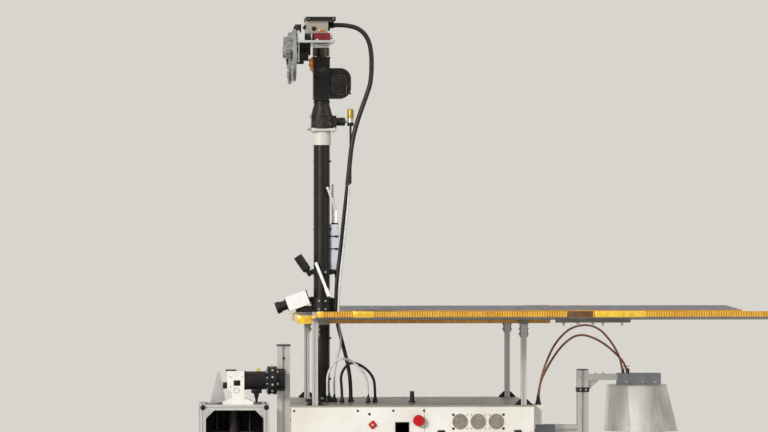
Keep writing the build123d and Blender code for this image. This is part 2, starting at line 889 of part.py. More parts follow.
with BuildPart() as panel_wings:
    for side in (left, right):
        with BuildSketch(Plane(origin=(wing_rear, 0, 0), x_dir=(0, 1, 0), z_dir=(1, 0, 0))):
            with BuildLine():
                Polyline(
                    (side * wing_inner, wing_under(wing_inner, side)),
                    (side * wing_outer, wing_under(wing_outer, side)),
                    (side * wing_outer, wing_under(wing_outer, side) + wing_wall),
                    (side * wing_inner, wing_under(wing_inner, side) + wing_wall),
                    close=True,
                )
            make_face()
        extrude(amount=wing_front - wing_rear)
        with Locations((wing_notch_rear, side * (wing_inner + wing_notch_side) / 2, roof_base)):
            Box(
                wing_front - wing_notch_rear,
                wing_notch_side - wing_inner,
                front_post_reach,
                align=(Align.MIN, Align.CENTER, Align.MIN),
                mode=Mode.SUBTRACT,
            )
save(panel_wings, "panel_wings")

# Mast

with BuildPart() as mast_tube:
    with BuildSketch(Plane.XY.offset(deck_height)):
        with Locations((mast_place, 0)):
            Circle(mast_foot / 2)
    extrude(amount=mast_foot_wall)
    with BuildSketch(Plane.XY.offset(deck_height)):
        with Locations((mast_place, 0)):
            Circle(mast_diameter / 2)
    extrude(amount=mast_top - deck_height)
    with BuildSketch(Plane.XY.offset(deck_height)):
        with Locations((mast_place, 0)):
            Circle(mast_diameter / 2 - mast_wall)
    extrude(amount=mast_top - deck_height, mode=Mode.SUBTRACT)
save(mast_tube, "mast_tube")

with BuildPart() as mast_collar:
    with BuildSketch(Plane.XY.offset(mast_top)):
        with Locations((mast_place, 0)):
            Circle(collar_diameter / 2)
    extrude(amount=collar_top - mast_top)
    with BuildSketch(Plane.XY.offset(collar_top)):
        with Locations((mast_place - flange_shift, 0)):
            RectangleRounded(flange_size, flange_size, flange_corner)
    extrude(amount=flange_top - collar_top)
save(mast_collar, "mast_collar")

with BuildPart() as mast_pedestal:
    with BuildSketch(Plane(origin=(mast_place, 0, flange_top), x_dir=(1, 0, 0), z_dir=(0, -1, 0))):
        with BuildLine():
            height = pedestal_height
            foot = Line((0, 0), (pedestal_base / 2, 0))
            edge = Line(foot @ 1, (pedestal_base / 2, pedestal_edge))
            flare = ThreePointArc(
                edge @ 1,
                (pedestal_waist / 2, height / 2),
                (pedestal_neck / 2, height - pedestal_neck_height),
            )
            neck = Line(flare @ 1, (pedestal_neck / 2, height))
            lid = Line(neck @ 1, (0, height))
            Line(lid @ 1, foot @ 0)
        make_face()
    revolve(axis=Axis((mast_place, 0, 0), (0, 0, 1)))
    with Locations((mast_place + pedestal_flat, 0, flange_top)):
        Box(
            pedestal_base,
            pedestal_base,
            pedestal_height,
            align=(Align.MIN, Align.CENTER, Align.MIN),
            mode=Mode.SUBTRACT,
        )
    plug_plane = Plane(origin=(mast_place, 0, plug_height), x_dir=(0, 1, 0), z_dir=(-1, 0, 0))
    with BuildSketch(plug_plane):
        Rectangle(plug_box, plug_box)
    extrude(amount=plug_box_reach)
    with BuildSketch(plug_plane):
        Circle(plug_diameter / 2)
    extrude(amount=plug_reach)
save(mast_pedestal, "mast_pedestal")

# Clamps on the mast, and what they hold

camera_tilt = radians(box_camera_tilt)
camera_forward = Vector(cos(camera_tilt), 0, -sin(camera_tilt))
camera_center = Vector(mast_place + box_camera_reach, 0, camera_arm_base + box_camera_rise)
camera_under = (
    camera_center.X - box_camera_size[2] / 2 * sin(camera_tilt),
    camera_center.Z - box_camera_size[2] / 2 * cos(camera_tilt),
)


def camera_base_height(place):
    """Height of the tilted camera's underside at a place along X."""
    return camera_under[1] - (place - camera_under[0]) * tan(camera_tilt)


spot_tilt = radians(spot_camera_tilt)
spot_direction = Vector(cos(spot_tilt), 0, sin(spot_tilt))
spot_center = Vector(mast_place + spot_camera_reach, 0, spot_clamp_base + spot_camera_rise)
spot_tail = spot_center - spot_direction * (spot_camera_length / 2)
arm_rear = mast_place + mast_radius + arm_bite
arm_front = mast_place + camera_arm_reach
arm_shoulder = arm_rear + camera_arm_shoulder
with BuildPart() as mast_clamps:
    with BuildSketch(Plane(origin=(0, camera_arm_width / 2, 0), x_dir=(1, 0, 0), z_dir=(0, -1, 0))):
        with BuildLine():
            Polyline(
                (arm_rear, camera_arm_base),
                (arm_front, camera_arm_base),
                (arm_front, camera_base_height(arm_front)),
                (arm_shoulder, camera_base_height(arm_shoulder)),
                (arm_rear, camera_base_height(arm_shoulder)),
                close=True,
            )
        make_face()
    extrude(amount=camera_arm_width)
    for base, height in ((camera_arm_base, camera_clamp_height), (spot_clamp_base, clamp_height)):
        with BuildSketch(Plane.XY.offset(base)):
            with Locations((mast_place, 0)):
                Circle(clamp_ring / 2)
        extrude(amount=height)
    with BuildSketch(Plane(origin=(arm_rear, 0, spot_clamp_base + clamp_height / 2), z_dir=(1, 0, 0))):
        Circle(spot_arm / 2)
    extrude(amount=spot_tail.X - arm_rear - spot_arm / 2)
    with BuildSketch(Plane(origin=spot_tail, z_dir=-spot_direction)):
        Circle(spot_joint / 2)
    extrude(amount=spot_joint_length)
    with BuildSketch(Plane.XY.offset(camera_arm_base)):
        with Locations((mast_place, 0)):
            Circle(mast_radius + fit_gap)
    extrude(amount=spot_clamp_base + clamp_height - camera_arm_base, mode=Mode.SUBTRACT)
save(mast_clamps, "mast_clamps")

with BuildPart() as box_camera:
    camera_rear = camera_center - camera_forward * (box_camera_size[0] / 2)
    with BuildSketch(Plane(origin=camera_rear, x_dir=(0, 1, 0), z_dir=camera_forward)):
        RectangleRounded(box_camera_size[1], box_camera_size[2], box_camera_corner)
    extrude(amount=box_camera_size[0])
    camera_front = camera_center + camera_forward * (box_camera_size[0] / 2)
    with BuildSketch(Plane(origin=camera_front, x_dir=(0, 1, 0), z_dir=camera_forward)):
        Circle(box_camera_hood / 2 - box_camera_hood_wall)
    extrude(amount=box_camera_hood_length - box_camera_hood_depth)
    hood_start = camera_front + camera_forward * (box_camera_hood_length - box_camera_hood_depth)
    hood_plane = Plane(origin=hood_start, x_dir=(0, 1, 0), z_dir=camera_forward)
    with BuildSketch(hood_plane):
        Circle(box_camera_hood / 2)
        Circle(box_camera_hood / 2 - box_camera_hood_wall, mode=Mode.SUBTRACT)
    extrude(amount=box_camera_hood_depth)
    with BuildSketch(hood_plane):
        Circle(box_camera_hood / 2)
    extrude(amount=box_camera_hood_wall)
save(box_camera, "box_camera")

with BuildPart() as spot_camera:
    with BuildSketch(Plane(origin=spot_tail, x_dir=(0, 1, 0), z_dir=spot_direction)):
        Circle(spot_camera_diameter / 2)
    extrude(amount=spot_camera_length)
    fillet(spot_camera.edges().sort_by(Axis.Z)[0], spot_camera_round)
save(spot_camera, "spot_camera")

radio_rear = mast_place - mast_radius - fit_gap - radio_size[0]
with BuildPart() as radio_box:
    with Locations((radio_rear, radio_offset, radio_base)):
        Box(*radio_size, align=(Align.MIN, Align.CENTER, Align.MIN))
    fillet(radio_box.edges().filter_by(Axis.Z), radio_round)
save(radio_box, "radio_box")

aerial_rows = (
    # inset along X, shift along Y, diameter, socket diameter and height, lean along X and Y with height
    (aerial_spread, aerial_spread, thin_aerial_diameter, thin_aerial_socket, thin_aerial),
    (thick_aerial_inset, -aerial_spread, thick_aerial_diameter, thick_aerial_socket, thick_aerial),
)
with BuildPart() as mast_aerials:
    for inset, shift, diameter, (socket, socket_height), (lean_x, lean_y, height) in aerial_rows:
        base = Vector(radio_rear + inset, radio_offset + shift, radio_top)
        with BuildSketch(Plane(origin=base)):
            Circle(socket / 2)
        extrude(amount=socket_height)
        joint = base + Vector(0, 0, socket_height - diameter / 2)
        tip = base + Vector(lean_x, lean_y, height)
        with BuildSketch(Plane(origin=joint, z_dir=tip - joint)):
            Circle(diameter / 2)
        extrude(amount=(tip - joint).length)
    side_y = clamp_ring / 2 + fit_gap + side_aerial_diameter / 2
    upper = Vector(mast_place + side_aerial_upper[0], side_y, spot_clamp_base + side_aerial_upper[1])
    lower = Vector(mast_place + side_aerial_lower[0], side_y, spot_clamp_base + side_aerial_lower[1])
    with BuildSketch(Plane(origin=lower, z_dir=upper - lower)):
        Circle(side_aerial_diameter / 2)
    extrude(amount=(upper - lower).length)
    with BuildSketch(Plane(origin=lower, z_dir=upper - lower)):
        Circle(side_aerial_socket[0] / 2)
    extrude(amount=side_aerial_socket[1])
save(mast_aerials, "mast_aerials")

with BuildPart() as position_sensor:
    with BuildSketch(Plane.XY.offset(sensor_base - sensor_rod_length)):
        with Locations((sensor_place, 0)):
            Circle(sensor_rod / 2)
    extrude(amount=sensor_rod_length)
    with BuildSketch(Plane.XY.offset(sensor_base)):
        with Locations((sensor_place, 0)):
            Circle(sensor_size[0] / 2)
    extrude(amount=sensor_size[1])
    fillet(position_sensor.edges().sort_by(Axis.Z)[-1], sensor_round)
    with BuildSketch(Plane(origin=(sensor_place, 0, plug_height), z_dir=(1, 0, 0))):
        Circle(sensor_arm / 2)
    extrude(amount=mast_place - plug_reach - fit_gap - sensor_place)
save(position_sensor, "position_sensor")

with BuildPart() as deck_aerial:
    with BuildSketch(Plane.XY.offset(deck_height)):
        with Locations(deck_aerial_place):
            Circle(deck_aerial_foot / 2)
    extrude(amount=deck_aerial_foot_wall)
    with BuildSketch(Plane.XY.offset(deck_height)):
        with Locations(deck_aerial_place):
            Circle(deck_aerial_diameter / 2)
    extrude(amount=deck_aerial_height, taper=deck_aerial_taper)
save(deck_aerial, "deck_aerial")

# Head: pan housing, tilt yoke and the camera bench

column_plane = Plane(origin=(head_axis_place, column_size[1] / 2, 0), x_dir=(1, 0, 0), z_dir=(0, -1, 0))
with BuildPart() as pan_housing:
    column_radius = column_size[0] / 2
    with BuildSketch(column_plane):
        with Locations((0, head_axis_height)):
            Circle(column_radius)
        with Locations((0, pedestal_top + bearing_gap)):
            Rectangle(
                column_size[0],
                head_axis_height - pedestal_top - bearing_gap,
                align=(Align.CENTER, Align.MIN),
            )
    extrude(amount=column_size[1])
    with BuildSketch(Plane(origin=(0, motor_width / 2, 0), x_dir=(1, 0, 0), z_dir=(0, -1, 0))):
        with BuildLine():
            motor_front = head_axis_place - column_radius + motor_bite
            Polyline(
                (motor_front, motor_base),
                (motor_front, motor_top),
                (motor_rear, motor_top),
                (motor_rear, motor_base),
                close=True,
            )
        corners = make_face()
        fillet(corners.vertices().group_by(Axis.X)[0], motor_round)
    extrude(amount=motor_width)
    shaft_length = column_size[1] + 2 * (yoke_gap + yoke_wall)
    shaft_origin = (head_axis_place, shaft_length / 2, head_axis_height)
    with BuildSketch(Plane(origin=shaft_origin, x_dir=(1, 0, 0), z_dir=(0, -1, 0))):
        Circle(tilt_shaft / 2)
    extrude(amount=shaft_length)
save(pan_housing, "pan_housing")

with BuildPart() as tilt_yoke:
    for side in (left, right):
        cheek = Plane(
            origin=(head_axis_place, side * yoke_inner, head_axis_height), x_dir=(1, 0, 0), z_dir=(0, side, 0)
        )
        upwards = Align.MIN if side == right else Align.MAX
        with BuildSketch(cheek):
            Circle(yoke_radius)
            Rectangle(2 * yoke_radius, yoke_plate_rise, align=(Align.CENTER, upwards))
            Circle(tilt_shaft / 2 + bearing_gap, mode=Mode.SUBTRACT)
        extrude(amount=yoke_wall)
    with Locations((head_axis_place, 0, yoke_plate_base)):
        Box(
            yoke_plate_size[0],
            2 * yoke_outer,
            yoke_plate_size[1],
            align=(Align.CENTER, Align.CENTER, Align.MIN),
        )
save(tilt_yoke, "tilt_yoke")

with BuildPart() as camera_bench:
    with Locations((head_axis_place, 0, plate_top)):
        Cylinder(barrel_diameter / 2, barrel_height, align=(Align.CENTER, Align.CENTER, Align.MIN))
    with Locations((head_axis_place, 0, plate_top + barrel_height)):
        Box(*riser_size, align=(Align.CENTER, Align.CENTER, Align.MIN))
    slot_plane = Plane(
        origin=(head_axis_place, riser_size[1] / 2, plate_top + barrel_height + riser_size[2] / 2),
        x_dir=(1, 0, 0),
        z_dir=(0, -1, 0),
    )
    with BuildSketch(slot_plane):
        SlotOverall(*riser_slot)
    extrude(amount=riser_size[1], mode=Mode.SUBTRACT)
    with Locations((bench_rear, 0, bench_base)):
        Box(
            bench_front - bench_rear,
            2 * bench_half_width,
            bench_wall,
            align=(Align.MIN, Align.CENTER, Align.MIN),
        )
    with Locations((bench_front, 0, bench_base)):
        Box(
            bench_wall,
            2 * bench_half_width,
            bench_lip_top - bench_base,
            align=(Align.MAX, Align.CENTER, Align.MIN),
        )
    for side in (left, right):
        with Locations((bench_front - bench_wall, side * filter_offset, bench_base)):
            Box(
                hanger_wall,
                hanger_width,
                filter_drop + filter_axle / 2 + hanger_wall,
                align=(Align.MIN, Align.CENTER, Align.MAX),
            )
    with Locations((head_box_rear, 0, head_box_base)):
        Box(*head_box_size, align=(Align.MIN, Align.CENTER, Align.MIN))
    with Locations((head_box_rear + head_box_size[0] / 2, 0, bench_top)):
        with GridLocations(
            head_box_size[0] - 2 * head_box_leg_inset, head_box_size[1] - 2 * head_box_leg_inset, 2, 2
        ):
            Box(head_box_leg, head_box_leg, head_box_legs, align=(Align.CENTER, Align.CENTER, Align.MIN))
    with BuildSketch(
        Plane(origin=(head_box_rear, conduit_gland_offset, gland_height), x_dir=(0, 1, 0), z_dir=(-1, 0, 0))
    ):
        RegularPolygon(conduit_gland / 2, 6)
    extrude(amount=conduit_gland_length)
save(camera_bench, "camera_bench")

with BuildPart() as filter_wheels:
    for side in (left, right):
        drum = Plane(
            origin=(filter_face, side * filter_offset, filter_height), x_dir=(0, 1, 0), z_dir=(1, 0, 0)
        )
        with BuildSketch(drum.offset(-filter_wall)):
            Circle(filter_diameter / 2)
        extrude(amount=filter_wall)
        with BuildSketch(drum):
            with Locations((side * lens_place[0], lens_place[1])):
                Circle(lens_ring / 2)
        extrude(amount=lens_ring_length)
        with BuildSketch(drum):
            with Locations((side * small_place[0], small_place[1])):
                Circle(small_ring / 2)
        extrude(amount=small_ring_length)
        with BuildSketch(drum.offset(lens_glass_depth)):
            with Locations((side * lens_place[0], lens_place[1])):
                Circle(lens_bore / 2)
            with Locations((side * small_place[0], small_place[1])):
                Circle(small_bore / 2)
        extrude(amount=lens_ring_length, mode=Mode.SUBTRACT)
        axle_start = bench_front - bench_wall + hanger_wall
        with BuildSketch(drum.offset(axle_start - filter_face)):
            Circle(filter_axle / 2)
        extrude(amount=filter_face - filter_wall - axle_start)
save(filter_wheels, "filter_wheels")

with BuildPart() as stereo_cameras:
    for side in (left, right):
        camera_y = side * (filter_offset + lens_place[0])
        camera_top = bench_base
        camera_low = filter_height + lens_place[1] - camera_body[1] / 2
        camera_x = filter_face - filter_wall - fit_gap
        with Locations((camera_x, camera_y, camera_low)):
            Box(
                camera_body[0],
                camera_body[1],
                camera_top - camera_low,
                align=(Align.MAX, Align.CENTER, Align.MIN),
            )
        motor_x = bench_front - bench_wall
        with BuildSketch(Plane(origin=(motor_x, side * filter_offset, filter_height), z_dir=(-1, 0, 0))):
            Circle(filter_axle / 2)
        extrude(amount=filter_motor_length)
save(stereo_cameras, "stereo_cameras")

with BuildPart() as bench_cameras:
    lens_x = center_camera_rear + center_camera_size[0]
    with Locations((center_camera_rear, center_camera_offset, bench_top)):
        Box(*center_camera_size, align=(Align.MIN, Align.CENTER, Align.MIN))
    fillet(bench_cameras.edges().filter_by(Axis.X), center_camera_round)
    with BuildSketch(
        Plane(
            origin=(lens_x, center_camera_offset, bench_top + center_camera_size[2] / 2),
            x_dir=(0, 1, 0),
            z_dir=(1, 0, 0),
        )
    ):
        Circle(center_lens / 2)
    extrude(amount=center_lens_length)
    with Locations((bench_front, sight_camera_offset, bench_lip_top)):
        Box(*sight_camera_size, align=(Align.MAX, Align.CENTER, Align.MIN))
    sight_height = bench_lip_top + sight_camera_size[2] / 2
    with BuildSketch(
        Plane(origin=(bench_front, sight_camera_offset, sight_height), x_dir=(0, 1, 0), z_dir=(1, 0, 0))
    ):
        Circle(sight_lens / 2)
    extrude(amount=sight_lens_length)
save(bench_cameras, "bench_cameras")

with BuildPart() as top_frame:
    with Locations((top_frame_rear, 0, top_frame_base)):
        Box(*top_frame_size, align=(Align.MIN, Align.CENTER, Align.MIN))
    with Locations((top_frame_rear + top_frame_size[0] / 2, 0, top_frame_base + top_frame_wall)):
        Box(
            top_frame_size[0] - 2 * top_frame_wall,
            top_frame_size[1] - 2 * top_frame_wall,
            top_frame_size[2],
            align=(Align.CENTER, Align.CENTER, Align.MIN),
            mode=Mode.SUBTRACT,
        )
save(top_frame, "top_frame")

# Drill rail on the front panel, with its cap

with BuildPart() as drill_rail:
    bar(
        (rail_x, rail_offset, rail_base),
        (rail_x, rail_offset, rail_top),
        rail_size,
        rail_groove,
        rail_groove_depth,
    )
    with Locations((rail_x, rail_offset, rail_top)):
        Box(rail_cap, rail_cap, rail_cap_wall, align=(Align.CENTER, Align.CENTER, Align.MIN))
save(drill_rail, "drill_rail")

block_start = body_front + carriage_gap
with BuildPart() as drill_actuator:
    with Locations((block_start, rail_face + bearing_gap, drill_axis_height)):
        Box(
            rail_size - carriage_gap,
            carriage_wall,
            carriage_height,
            align=(Align.MIN, Align.MIN, Align.CENTER),
        )
    turn_plane = Plane(origin=(0, drill_axis_offset, drill_axis_height), x_dir=(0, 1, 0), z_dir=(1, 0, 0))
    with BuildSketch(turn_plane.offset(block_start)):
        Circle(hub_neck / 2)
    extrude(amount=flange_start - block_start)
    with Locations((block_start, rail_face + bearing_gap, drill_axis_height)):
        Box(
            flange_start - block_start,
            drill_axis_offset - rail_face - bearing_gap,
            carriage_block,
            align=(Align.MIN, Align.MIN, Align.CENTER),
        )
    with BuildSketch(turn_plane.offset(flange_start)):
        Circle(motor_flange / 2)
    extrude(amount=motor_flange_wall)
    with BuildSketch(turn_plane.offset(flange_end)):
        Circle(turn_motor / 2)
    extrude(amount=turn_motor_length)
save(drill_actuator, "drill_actuator")

foot_rear = yoke_foot_front - yoke_foot_length
with BuildPart() as drill_yoke:
    yoke_plane = Plane(
        origin=(0, drill_axis_offset + yoke_head[1] / 2, 0), x_dir=(1, 0, 0), z_dir=(0, -1, 0)
    )
    with BuildSketch(yoke_plane):
        with BuildLine():
            head_base = drill_axis_height - yoke_head[2] / 2
            head_top = drill_axis_height + yoke_head[2] / 2
            foot_top = frame_top + yoke_foot_wall
            Polyline(
                (yoke_rear, head_top),
                (yoke_rear + yoke_head[0], head_top),
                (yoke_rear + yoke_head[0], head_base + yoke_shoulder),
                (yoke_rear + yoke_stem, head_base + yoke_shoulder - yoke_shoulder_drop),
                (yoke_rear + yoke_stem, foot_top + yoke_foot_flare),
                (yoke_foot_front, foot_top),
                (yoke_foot_front, frame_top),
                (foot_rear, frame_top),
                (foot_rear, foot_top),
                (yoke_rear, foot_top + yoke_foot_flare),
                close=True,
            )
        make_face()
        with Locations((yoke_rear + yoke_window_place[0], drill_axis_height + yoke_window_place[1])):
            Rectangle(*yoke_window, mode=Mode.SUBTRACT)
    extrude(amount=yoke_head[1])
save(drill_yoke, "drill_yoke")

# Drill box: a frame of slotted profiles, dark panels and the drill inside

frame_xs = (frame_rear + half_profile, frame_front - half_profile)
frame_ys = (frame_right + half_profile, frame_left - half_profile)
frame_zs = (frame_low + half_profile, frame_top - half_profile)
with BuildPart() as drill_frame:
    for x in frame_xs:
        for y in frame_ys:
            bar((x, y, frame_low), (x, y, frame_top), frame_profile, frame_groove, frame_groove_depth)
    for x in frame_xs:
        for z in frame_zs:
            start, end = frame_right + frame_profile, frame_left - frame_profile
            bar((x, start, z), (x, end, z), frame_profile, frame_groove, frame_groove_depth)
    for y in frame_ys:
        for z in frame_zs:
            start, end = frame_rear + frame_profile, frame_front - frame_profile
            bar((start, y, z), (end, y, z), frame_profile, frame_groove, frame_groove_depth)
    for y in frame_ys:
        with BuildSketch(Plane(origin=(0, y + frame_gusset_wall / 2, 0), x_dir=(1, 0, 0), z_dir=(0, -1, 0))):
            for corner_x, inward in ((frame_rear + frame_profile, 1), (frame_front - frame_profile, -1)):
                for corner_z, upward in ((frame_low + frame_profile, 1), (frame_top - frame_profile, -1)):
                    with BuildLine():
                        Polyline(
                            (corner_x - inward * weld_overlap, corner_z - upward * weld_overlap),
                            (corner_x + inward * frame_gusset, corner_z - upward * weld_overlap),
                            (corner_x + inward * frame_gusset, corner_z),
                            (corner_x, corner_z + upward * frame_gusset),
                            (corner_x - inward * weld_overlap, corner_z + upward * frame_gusset),
                            close=True,
                        )
                    make_face()
        extrude(amount=frame_gusset_wall)
save(drill_frame, "drill_frame")

case_x = (frame_rear + frame_profile, frame_front - frame_profile)
case_y = (frame_right + frame_profile, frame_left - frame_profile)
case_z = (frame_low + frame_profile, frame_top - frame_profile)
spindle_x = (case_x[0] + case_x[1]) / 2
spindle_y = case_y[0] + spindle_inset
with BuildPart() as drill_case:
    with Locations(((case_x[0] + case_x[1]) / 2, (case_y[0] + case_y[1]) / 2, (case_z[0] + case_z[1]) / 2)):
        Box(case_x[1] - case_x[0], case_y[1] - case_y[0], case_z[1] - case_z[0])
        Box(
            case_x[1] - case_x[0] - 2 * case_wall,
            case_y[1] - case_y[0] - 2 * case_wall,
            case_z[1] - case_z[0] - 2 * case_wall,
            mode=Mode.SUBTRACT,
        )
    with Locations(((case_x[0] + case_x[1]) / 2, case_y[1], (case_z[0] + case_z[1]) / 2)):
        Box(
            case_x[1] - case_x[0] - 2 * case_wall,
            case_cut,
            case_z[1] - case_z[0] - 2 * case_wall,
            mode=Mode.SUBTRACT,
        )
    with Locations((spindle_x, spindle_y, case_z[0])):
        Cylinder(drill_tube / 2 + drill_tube_gap, case_cut, mode=Mode.SUBTRACT)
save(drill_case, "drill_case")

case_roof = case_z[1] - case_wall
motor_end = case_roof - drill_motor_length
tip_top = frame_low + drill_tip_rise + drill_tip_height
with BuildPart() as drill_spindle:
    with BuildSketch(Plane.XY.offset(case_roof)):
        with Locations((spindle_x, spindle_y)):
            Circle(drill_motor / 2)
    extrude(amount=-drill_motor_length)
    with BuildSketch(Plane.XY.offset(motor_end)):
        with Locations((spindle_x, spindle_y)):
            Circle(drill_tube / 2)
    extrude(amount=-(motor_end - tip_top))
    with BuildSketch(Plane.XY.offset(tip_top)):
        with Locations((spindle_x, spindle_y)):
            Circle(drill_tube / 2)
    extrude(amount=-drill_tip_height, taper=drill_tip_taper)
    with Locations((spindle_x, spindle_y, case_roof - spindle_plate_drop)):
        Box(*spindle_plate, align=(Align.CENTER, Align.CENTER, Align.MAX))
    with BuildSketch(Plane.XY.offset(case_z[0] + case_wall)):
        with Locations((spindle_x, spindle_y)):
            with GridLocations(2 * spindle_rod_offset, 0, 2, 1):
                Circle(drill_rod / 2)
    extrude(amount=case_roof - case_z[0] - case_wall)
save(drill_spindle, "drill_spindle")

# Radar: carrier of slotted profiles, dark bracket and folded sheet horn

beam_z = radar_beam_base + radar_beam / 2
post_x = radar_post_front - radar_beam / 2
with BuildPart() as radar_frame:
    for start, end in (
        ((body_rear, radar_offset, beam_z), (radar_post_front, radar_offset, beam_z)),
        ((post_x, radar_offset, radar_post_base), (post_x, radar_offset, radar_post_top)),
    ):
        bar(start, end, radar_beam, radar_groove, radar_groove_depth)
    with Locations((post_x, radar_offset, radar_post_base + radar_band_rise)):
        Box(radar_band[0], radar_band[0], radar_band[1], align=(Align.CENTER, Align.CENTER, Align.MIN))
    with Locations((radar_post_rear, radar_offset, radar_arm_base)):
        Box(
            radar_post_rear - radar_arm_end,
            radar_beam,
            radar_arm_height,
            align=(Align.MAX, Align.CENTER, Align.MIN),
        )
    gusset_plane = Plane(
        origin=(radar_post_rear, radar_offset + radar_gusset_wall / 2, radar_arm_base),
        x_dir=(1, 0, 0),
        z_dir=(0, -1, 0),
    )
    with BuildSketch(gusset_plane):
        with BuildLine():
            Polyline(
                (weld_overlap, weld_overlap),
                (-radar_gusset, weld_overlap),
                (-radar_gusset, 0),
                (0, -radar_gusset),
                (weld_overlap, -radar_gusset),
                close=True,
            )
        make_face()
    extrude(amount=radar_gusset_wall)
save(radar_frame, "radar_frame")

with BuildPart() as radar_bracket:
    with Locations((radar_arm_end, radar_offset, horn_top)):
        Box(
            radar_bracket_length,
            radar_bracket_width,
            radar_bracket_top - horn_top,
            align=(Align.MAX, Align.CENTER, Align.MIN),
        )
    with Locations((radar_arm_end - radar_bracket_back, radar_offset, horn_top + radar_bracket_floor)):
        Box(
            radar_bracket_length,
            radar_bracket_width - 2 * radar_bracket_wall,
            radar_bracket_top - horn_top,
            align=(Align.MAX, Align.CENTER, Align.MIN),
            mode=Mode.SUBTRACT,
        )
save(radar_bracket, "radar_bracket")

horn_sections = (
    # height, middle along X, size across flats
    (horn_top, horn_top_place, horn_top_size),
    (horn_bottom, horn_bottom_place, horn_bottom_size),
)
with BuildPart() as radar_horn:
    for height, place, size in horn_sections:
        with BuildSketch(Plane.XY.offset(height)):
            with Locations((place, radar_offset)):
                RegularPolygon(size / 2, horn_sides, major_radius=False, rotation=horn_turn)
    loft(ruled=True)
    for height, place, size in (
        (horn_top - horn_wall, horn_top_place, horn_top_size - 2 * horn_wall),
        (horn_bottom - weld_overlap, horn_bottom_place, horn_bottom_size - 2 * horn_wall),
    ):
        with BuildSketch(Plane.XY.offset(height)):
            with Locations((place, radar_offset)):
                RegularPolygon(size / 2, horn_sides, major_radius=False, rotation=horn_turn)
    loft(ruled=True, mode=Mode.SUBTRACT)
save(radar_horn, "radar_horn")

# Cords, each a tube of straight runs joined by tangent arcs

cord_routes = (
    # name, diameter, points
    ("head_conduit_upper", 17.0, (
        (532.7, 42, 2081), (491, 41.6, 2083), (428, 37, 2066), (393, 31, 2006), (393, 28, 1940),
    )),
    ("head_conduit_lower", 17.0, (
        (393, 28, 1939.7), (393, 26, 1880), (412, 24, 1822), (443, 26, 1738), (466, 30, 1650),
        (474, 33, 1570), (482, 34, 1495),
    )),
    ("mast_bundle", 14.0, (
        (482, 28, 1494.6), (489, 26, 1430), (498, 20, 1345), (506, 15, 1260), (518, 16, 1170),
        (524, 18, 1085), (522, 10, 1000), (500, 24, 915), (480, 34, 835), (470, 40, 765), (470, 40, 700.3),
    )),
    ("white_lead", 8.0, (
        (475, 41, 1493.9), (479, 38, 1430), (488, 33, 1345), (496, 28, 1262), (507, 29, 1170),
        (513, 31, 1085), (516, 26, 1000), (503, 44, 915), (520, 52, 870), (534, 64, 800), (532, 68, 745),
        (532, 68, 700.3),
    )),
    ("deck_loop_black", 10.0, (
        (505, 90, 700.3), (505, 90, 745), (512, 98, 805), (478, 108, 850), (432, 110, 836), (390, 100, 795),
        (384, 94, 748), (384, 94, 700.3),
    )),
    ("deck_loop_gray", 8.0, (
        (560, 110, 700.3), (560, 110, 745), (560, 112, 815), (515, 118, 868), (462, 126, 850),
        (420, 132, 800), (412, 138, 748), (412, 138, 700.3),
    )),
    ("radar_lead_near", 8.0, (
        (-200, 262, 698.3), (-200, 262, 760), (-226, 258, 850), (-266, 250, 930), (-330, 236, 985),
        (-415, 214, 985), (-478, 190, 920), (-520, 158, 840), (-520, 158, 771.3),
    )),
    ("radar_lead_far", 8.0, (
        (-200, 232, 698.3), (-200, 232, 760), (-240, 236, 845), (-290, 228, 915), (-350, 212, 955),
        (-420, 190, 935), (-484, 164, 890), (-540, 144, 830), (-540, 144, 771.3),
    )),
)
arc_share = 0.45


def route_radii(points):
    """Radius of each bend, as large as its two runs allow."""
    radii = []
    for before, corner, after in zip(points, points[1:], points[2:]):
        first, second = corner - before, after - corner
        turn = first.get_angle(second)
        radii.append(arc_share * min(first.length, second.length) / tan(radians(turn) / 2))
    return radii


for cord_name, diameter, places in cord_routes:
    points = [Vector(*place) for place in places]
    radii = route_radii(points)
    with BuildPart() as cord:
        with BuildLine() as route:
            FilletPolyline(*points, radius=radii)
        with BuildSketch(Plane(origin=points[0], z_dir=points[1] - points[0])):
            Circle(diameter / 2)
        sweep(path=route.wires()[0])
    length = route.wires()[0].length
    print(cord_name, "length", round(length), "smallest radius", round(min(radii)))
    save(cord, cord_name)
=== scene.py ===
from itertools import product
from math import cos, pi, radians, sin, tau

import bmesh
import bpy
from mathutils import Matrix, Vector


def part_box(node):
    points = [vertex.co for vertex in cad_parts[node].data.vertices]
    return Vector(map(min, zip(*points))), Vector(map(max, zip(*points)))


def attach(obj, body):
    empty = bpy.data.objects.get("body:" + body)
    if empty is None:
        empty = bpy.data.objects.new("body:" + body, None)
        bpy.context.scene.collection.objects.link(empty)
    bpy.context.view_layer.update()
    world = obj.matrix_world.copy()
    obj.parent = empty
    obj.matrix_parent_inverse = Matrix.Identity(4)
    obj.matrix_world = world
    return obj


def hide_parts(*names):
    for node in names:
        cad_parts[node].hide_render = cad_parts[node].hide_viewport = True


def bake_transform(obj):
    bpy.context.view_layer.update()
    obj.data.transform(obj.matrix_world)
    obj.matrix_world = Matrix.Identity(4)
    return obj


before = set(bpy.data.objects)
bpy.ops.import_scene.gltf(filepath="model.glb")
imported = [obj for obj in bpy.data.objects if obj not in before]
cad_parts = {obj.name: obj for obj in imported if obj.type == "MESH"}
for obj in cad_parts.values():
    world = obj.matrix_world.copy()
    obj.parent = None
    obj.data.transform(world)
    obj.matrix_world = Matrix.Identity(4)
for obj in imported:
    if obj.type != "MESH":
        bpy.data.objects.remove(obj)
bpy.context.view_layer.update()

# Planetary rover, dressed over its CAD frame. Lengths are in metres, +X is forward and +Z is up.
# Sizes come from the frame's boxes, and what only the scene has is named here.

